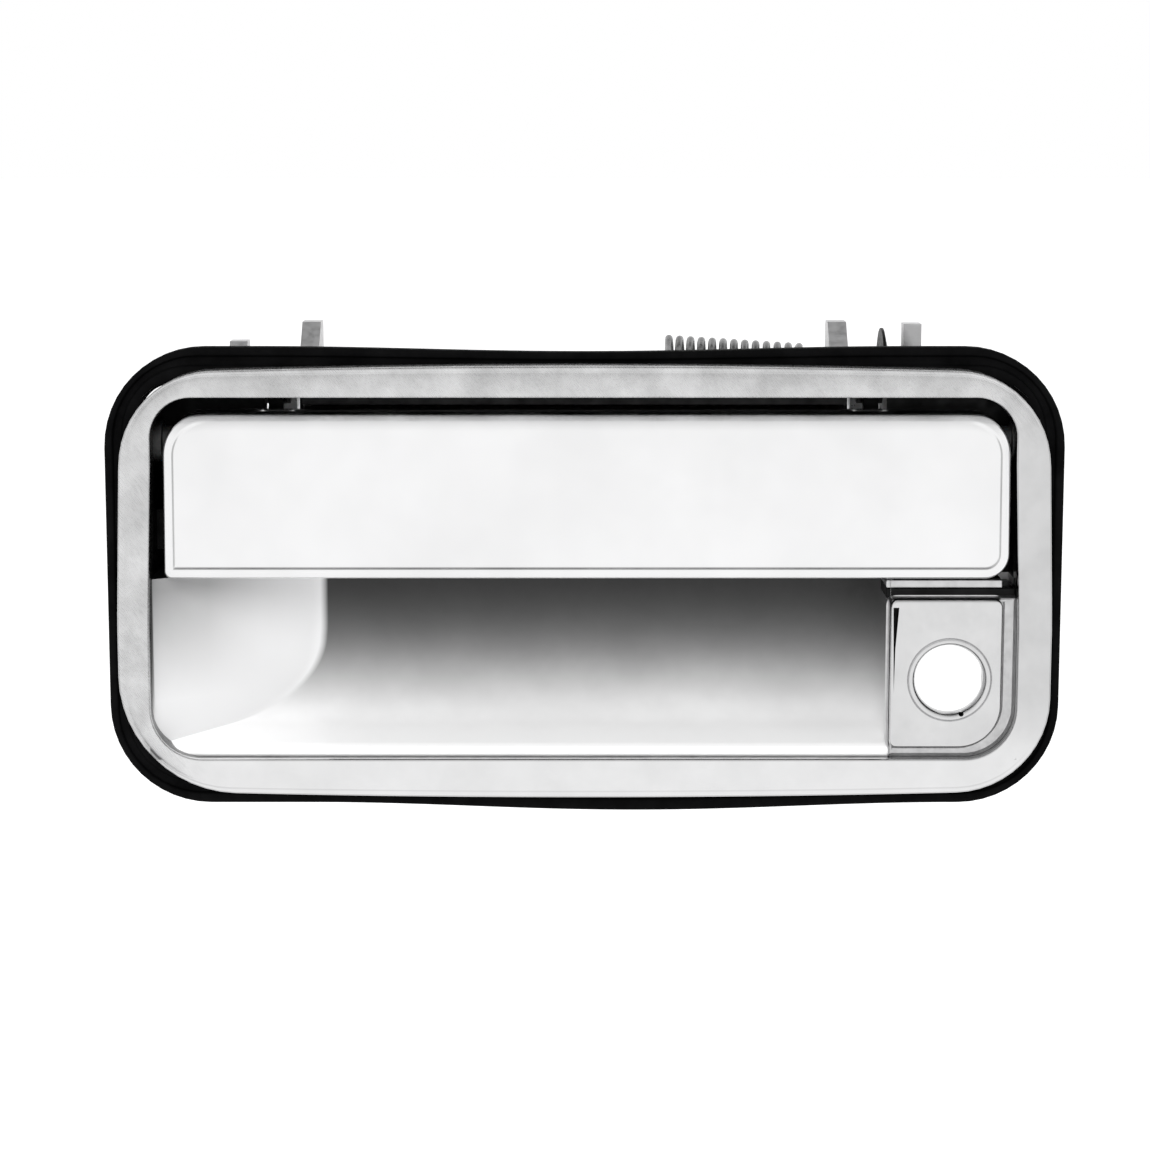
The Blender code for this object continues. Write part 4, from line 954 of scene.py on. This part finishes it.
def paddle_weight(arc_steps, long_steps, side_steps):
    """1 where the rim's bevel applies, fading to 0 along the top edge."""
    fade = np.cos(np.radians(np.linspace(0, 90, arc_steps + 1)))
    lower = np.ones(2 * (arc_steps + 1) + long_steps - 1 + side_steps - 1)
    top = np.zeros(long_steps - 1)
    return np.concatenate((lower, fade, top, fade[::-1], np.ones(side_steps - 1)))


def paddle_shell():
    """The paddle's outside, its face and its back, before it is hollowed."""
    steps = (16, 80, 24)
    weight = paddle_weight(*steps)
    front, back = [], []
    for inset in paddle_rings():
        points = outline(PADDLE, PADDLE_CORNERS, None, inset, *steps)
        y = paddle_front(points[:, 1]) + rim_drop(inset) * weight
        rear = paddle_back(points[:, 1])
        front.append(at_depth(points, np.minimum(y, rear)))
        if inset in (0.0, 0.35) or inset > 0.7:
            ease_back = max(0.0, 0.45 - inset) * weight
            back.append(at_depth(points, np.maximum(rear - ease_back, np.minimum(y, rear))))
    rings = back[::-1] + front
    return loft("paddle_shell", rings, capped=(True, True), sharp=38)


def paddle_cavity():
    """The open back of the paddle, with rounded inner corners."""
    low = paddle_front(PADDLE[2] + SKIN) + SKIN
    roof = HINGE[1] - 4.8
    flat = [(float(low), PADDLE[2] + SKIN), (float(paddle_front(roof)) + SKIN, roof),
            (9.0, roof), (9.0, -4.0), (-0.6, -4.0), (-0.6, PADDLE[2] + SKIN)]
    cavity = prism("cavity", flat, PADDLE[0] + SKIN, PADDLE[1] - SKIN, "X")
    return ease(cavity, 0.8, 3, 30)


def hinge_bore(name, start, end):
    """The round hole for a bushing in the paddle's end."""
    flat = arc(HINGE, HINGE_BORE, 0, 355, 47)
    return prism(name, flat, start, end, "X")


def paddle():
    """The hollowed paddle with its stops, ribs and the fingers that push the lever."""
    shell = paddle_shell()
    combine(shell, [paddle_cavity(), hinge_bore("bore_left", PADDLE[0] - 3, PADDLE[0] + 8.8),
                    hinge_bore("bore_right", PADDLE[1] - 8.8, PADDLE[1] + 3)])
    shell.data.set_sharp_from_angle(angle=math.radians(38))
    dress(shell, "paddle", "handle", "pull_handle")
    for side, x in zip(("left", "right"), BUMPERS):
        flat = outline((x - 3, x + 3, BUMPER_Z - 3, BUMPER_Z + 3), (1.0,) * 4, None, 0.0, 6, 2, 2)
        stop = prism("paddle_stop_" + side, flat, -6.5, 3.3, "Y")
        dress(ease(stop, 0.3), "paddle", "handle")
    for number, x in enumerate(np.linspace(-58, 58, 5)):
        flat = [(-6.6, 3.4), (-6.0, 22.6), (-2.4, 22.6), (-3.6, 12.0), (-3.4, 3.4)]
        rib = prism(f"paddle_rib_{number + 1}", flat, x - 0.7, x + 0.7, "X")
        dress(ease(rib, 0.35), "paddle", "handle")
    for side, x in zip(("left", "right"), FINGERS):
        way = np.array((math.cos(FINGER_ANGLE), math.sin(FINGER_ANGLE)))
        across = np.array((-way[1], way[0]))
        tip = np.array(HINGE) + way * (FINGER_LENGTH - 0.8)
        turn = math.degrees(FINGER_ANGLE)
        flat = np.vstack((arc(tip, 0.8, turn - 90, turn + 90, 14),
                          [np.array(HINGE) + across * 1.6 + way * 4,
                           np.array(HINGE) - across * 1.6 + way * 4]))
        finger = prism("paddle_finger_" + side, flat, x - 1.5, x + 1.5, "X")
        dress(ease(finger, 0.25, 2), "finger", "handle")


# Hinge and lever hardware

def hinge_hardware():
    """The two hinge pins and the flanged bushings that turn on them."""
    for index, (side, out) in enumerate((("left", -1), ("right", 1))):
        end = PADDLE[index]
        gap = abs(end - OPENING[index])
        inner = end - out * 8.2
        length = abs(BODY_SIDES[index] - out * 0.3 - inner)
        pin = eased([(0, length), (1.7, length), (1.7, 0), (0, 0)], 0.35, False)
        dress(turned("hinge_pin_rod_" + side, pin, (inner, *HINGE), (out, 0, 0), closed=False),
              "pin", "housing", "hinge_pin_" + side)
        sleeve, flange = 7.5, gap - 0.6
        profile = eased([(4.0, sleeve + 0.3 + flange), (4.0, sleeve + 0.3), (3.0, sleeve + 0.3),
                         (3.0, 0), (2.0, 0), (2.0, sleeve + 0.3 + flange)], 0.2)
        dress(turned("hinge_bush_" + side, profile, (end - out * sleeve, *HINGE), (out, 0, 0)),
              "bush", "handle", "hinge_bushing_" + side)


def bumper_buttons():
    """The rubber buttons that the closed paddle rests on."""
    for side, x in zip(("left", "right"), BUMPERS):
        profile = eased([(0, 2.9), (1.2, 2.9), (1.2, 1.1), (3.0, 1.1), (3.0, 0), (1.1, 0),
                         (0.9, 0.25), (0, 0.25)], 0.3, False)
        dress(turned("bumper_button_" + side, profile, (x, 3.6, BUMPER_Z), (0, 1, 0), closed=False),
              "rubber", "housing", "bumper_" + side)


def finger_caps():
    """The nylon shoes on the paddle's fingers."""
    for side in ("left", "right"):
        cap = from_node("finger_shoe_" + side, "finger_cap_" + side)
        dress(ease(cap, 0.18, 2, 40), "bush", "handle", "finger_shoe_" + side)


def lever():
    """The transfer lever and the clip that takes the latch's rod."""
    bail = from_node("transfer_lever", "lever_bail")
    dress(ease(bail, 0.3, 3, 40), "zinc", "lever", "transfer_lever")
    profile = eased([(4.2, 3.05), (4.2, 1.55), (2.3, 1.55), (2.3, -4.55), (1.5, -4.55),
                     (1.5, 3.05)], 0.3)
    dress(turned("latch_clip", profile, ROD_CLIP, (1, 0, 0)), "nylon", "lever",
          "latch_rod_clip")


def shaft_hardware():
    """The lever's shaft, the push nut that keeps it in and its two bushings."""
    low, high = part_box("lever_shaft")
    left, right = low.x / MM, high.x / MM
    head = left + 1.5
    profile = eased([(0, right), (SHAFT_RADIUS, right), (SHAFT_RADIUS, right - 1.2),
                     (SHAFT_RADIUS - 0.18, right - 1.4), (SHAFT_RADIUS, right - 1.6),
                     (SHAFT_RADIUS, head), (3.5, head), (3.5, left), (0, left)], 0.35, False)
    dress(turned("shaft_rod", profile, (0, *SHAFT), (1, 0, 0), closed=False), "pin", "housing",
          "lever_shaft")
    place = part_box("shaft_push_nut")[0].x / MM
    profile = eased([(2.5, 1.6), (4.0, 1.6), (8.4, 0.6), (8.4, 0.0), (4.0, 1.0), (2.5, 1.0)], 0.15)
    nut = turned("shaft_retainer", profile, (place, *SHAFT), (1, 0, 0))
    dress(nut, "black", "housing", "shaft_push_nut")
    for side, middle, inward in (("left", LUGS[0], 1), ("right", LUGS[1], -1)):
        profile = eased([(4.5, 3.2), (4.5, 2.2), (3.5, 2.2), (3.5, -1.9), (2.5, -1.9),
                         (2.5, 3.2)], 0.2)
        dress(turned("shaft_bush_" + side, profile, (middle, *SHAFT), (inward, 0, 0)), "nylon",
              "housing", "shaft_bushing_" + side)


def coil_path():
    """The wire: a leg resting on the housing, the coil, and a leg over the lever."""
    count = COIL_TURNS * 40
    shares = np.linspace(0, 1, count + 1)
    turns = math.pi / 2 - 2 * math.pi * COIL_TURNS * shares
    rise = SHAFT[1] + COIL_LIFT + COIL_TILT * (1 - 2 * shares)
    coil = np.column_stack((COIL[0] + (COIL[1] - COIL[0]) * shares,
                            SHAFT[0] + COIL_RADIUS * np.cos(turns),
                            rise + COIL_RADIUS * np.sin(turns)))
    rest, over = (seat + COIL_WIRE + 0.3 for seat in LEG_SEATS)
    first, last = coil[0], coil[-1]
    front = leg((first[0] - 0.4, SHAFT[0] - 12, rest),
                (first[0] - 0.2, SHAFT[0] - 4, (rest + 2 * first[2]) / 3), first)
    back = leg((last[0] + 0.4, SHAFT[0] + 11.5, over),
               (last[0] + 0.2, SHAFT[0] + 4, (over + 2 * last[2]) / 3), last)
    return np.vstack((front, coil, back[::-1]))


def leg(tip, knee, root):
    """A gently curved wire leg, without the point where it meets the coil."""
    shares = np.linspace(0, 1, 13)[:-1, None]
    tip, knee, root = (np.array(point, float) for point in (tip, knee, root))
    return (tip * (1 - shares) ** 2 + 2 * knee * shares * (1 - shares) + root * shares ** 2)


def spring():
    """The return spring, whose turns wind between the housing and the lever."""
    wire = tube("return_coil", coil_path(), COIL_WIRE)
    wire.data.materials.append(LOOKS["spring"])
    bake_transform(wire)
    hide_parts("return_spring")


def threaded_rod(name, x, z, start, plain, end):
    """A stud whose M6 thread is cut as a real helix, run out at both ends."""
    sides, pitch, depth, radius = 48, 1.0, 0.58, 2.9
    turns = np.linspace(0, 2 * math.pi, sides, endpoint=False)
    rings = [np.column_stack((np.full(sides, x), np.full(sides, start), np.full(sides, z)))]
    for y in np.concatenate(([start, plain - 0.2], np.arange(plain, end + 1e-6, pitch / 8))):
        phase = (y / pitch - turns / (2 * math.pi)) % 1
        groove = depth * (1 - np.abs(2 * phase - 1)) if y > plain else np.zeros(sides)
        groove = groove * min(1, max(0, (y - plain) / 1.5))
        tip = max(0.0, 0.9 - (end - y)) * 0.8
        reach = np.minimum(radius - groove, radius - tip)
        rings.append(np.column_stack((x + reach * np.cos(turns), np.full(sides, y),
                                      z + reach * np.sin(turns))))
    rings.append(np.column_stack((np.full(sides, x), np.full(sides, end), np.full(sides, z))))
    return loft(name, rings, sharp=60)


def hex_radius(turns, flats):
    """How far a hexagon's sides are from its middle, by angle."""
    folded = (turns + math.pi / 6) % (math.pi / 3) - math.pi / 6
    return flats / 2 / np.cos(folded)


def flange_nut(name, x, z, start):
    """A hexagon nut with chamfered corners, a flange that clamps and a countersunk bore."""
    sides = 96
    turns = np.linspace(0, 2 * math.pi, sides, endpoint=False)
    plain = np.ones(sides)
    hexagon = hex_radius(turns, 10.0)
    steps = [(3.2 * plain, 0.35), (3.55 * plain, 0.0), (6.2 * plain, -0.2), (6.45 * plain, 0.0),
             (6.5 * plain, 0.3), (6.4 * plain, 0.6), (6.1 * plain, 0.85),
             (np.maximum(hexagon, 5.65), 1.15), (hexagon + 0.12, 1.35), (hexagon, 1.6),
             (hexagon, 4.1)]
    for drop in (0.6, 0.45, 0.3, 0.15, 0.05):
        steps.append((np.minimum(hexagon, 5.0 + drop * 1.5), 5.0 - drop))
    steps += [(np.minimum(hexagon, 4.95), 5.0), (3.6 * plain, 5.0), (3.2 * plain, 4.65)]
    rings = [np.column_stack((x + reach * np.cos(turns), np.full(sides, start + height),
                              z + reach * np.sin(turns))) for reach, height in steps]
    return loft(name, rings, closed=True, sharp=25)


def studs_and_nuts():
    """The two threaded mounting studs and their flanged nuts."""
    for side, x in STUDS:
        low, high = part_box("mounting_stud_" + side)
        stud = threaded_rod("threaded_stud_" + side, x, STUD_Z, low.y / MM,
                            STUD_PLAIN_END, high.y / MM)
        dress(stud, "zinc", "housing", "mounting_stud_" + side)
        nut = flange_nut("flange_nut_" + side, x, STUD_Z, NUT_START)
        dress(nut, "zinc", "housing", "mounting_nut_" + side)


# Floor and light

def floor():
    """A plain white floor that chrome doesn't mirror."""
    corners = [(-1, -1), (1, -1), (1, 1), (-1, 1)]
    points = [(x * FLOOR_REACH, y * FLOOR_REACH, FLOOR_Z) for x, y in corners]
    plane = shape("studio_floor", points, [(0, 1, 2, 3)])
    look = Look("white_floor", 0.0, Roughness=0.9)
    look.colour(look.clouded(look.noise(300, 2), grey(0.93), grey(0.95)))
    look.shader.inputs["Emission Color"].default_value = (1, 1, 1, 1)
    look.shader.inputs["Emission Strength"].default_value = 0.5
    look.shader.inputs["Specular IOR Level"].default_value = 0
    plane.data.materials.append(look.made)
    plane.visible_glossy = False


def world():
    """Soft white studio with darker side walls and a slightly darker ceiling."""
    made = bpy.data.worlds.new("studio")
    bpy.context.scene.world = made
    made.use_nodes = True
    tree = made.node_tree
    place = tree.nodes.new("ShaderNodeTexCoord").outputs["Generated"]
    split = tree.nodes.new("ShaderNodeSeparateXYZ")
    tree.links.new(place, split.inputs[0])
    walls = band(tree, split.outputs["Y"], [(0.0, 1.0), (0.36, 1.0), (0.43, 0.5), (0.5, 0.3),
                                            (0.58, 0.5), (0.66, 1.0), (1.0, 1.0)])
    ceiling = band(tree, split.outputs["Z"], [(0.0, 1.0), (0.62, 1.0), (0.84, 0.84),
                                              (0.94, 0.74), (1.0, 0.4)])
    product = tree.nodes.new("ShaderNodeMath")
    product.operation = "MULTIPLY"
    tree.links.new(walls, product.inputs[0])
    tree.links.new(ceiling, product.inputs[1])
    tree.links.new(product.outputs[0], tree.nodes["Background"].inputs["Color"])
    tree.nodes["Background"].inputs["Strength"].default_value = 1.0


def band(tree, value, stops):
    """Brightness along one direction, from -1 to 1."""
    spread = tree.nodes.new("ShaderNodeMapRange")
    spread.inputs["From Min"].default_value = -1
    tree.links.new(value, spread.inputs["Value"])
    ramp = tree.nodes.new("ShaderNodeValToRGB")
    tree.links.new(spread.outputs["Result"], ramp.inputs["Fac"])
    elements = ramp.color_ramp.elements
    while len(elements) < len(stops):
        elements.new(0.5)
    for element, (place, level) in zip(elements, stops):
        element.position = place
        element.color = (level, level, level, 1)
    return ramp.outputs["Color"]


def lamp(name, place, size, power):
    """A soft round lamp, in metres, that looks at the middle of the handle."""
    data = bpy.data.lights.new(name, "AREA")
    data.shape = "DISK"
    data.size = size
    data.energy = power
    made = bpy.data.objects.new(name, data)
    made.location = place
    made.rotation_euler = (-Vector(place)).to_track_quat("-Z", "Y").to_euler()
    made.visible_glossy = False
    bpy.context.scene.collection.objects.link(made)


frame_ring()
gasket()
pocket_liner()
lock_boss()
lock_ledge()
channel_floor()
casting()
trough()
paddle()
hinge_hardware()
bumper_buttons()
finger_caps()
lever()
shaft_hardware()
spring()
studs_and_nuts()
floor()
world()
lamp("key", (-0.25, -1.5, 0.85), 0.9, 23)
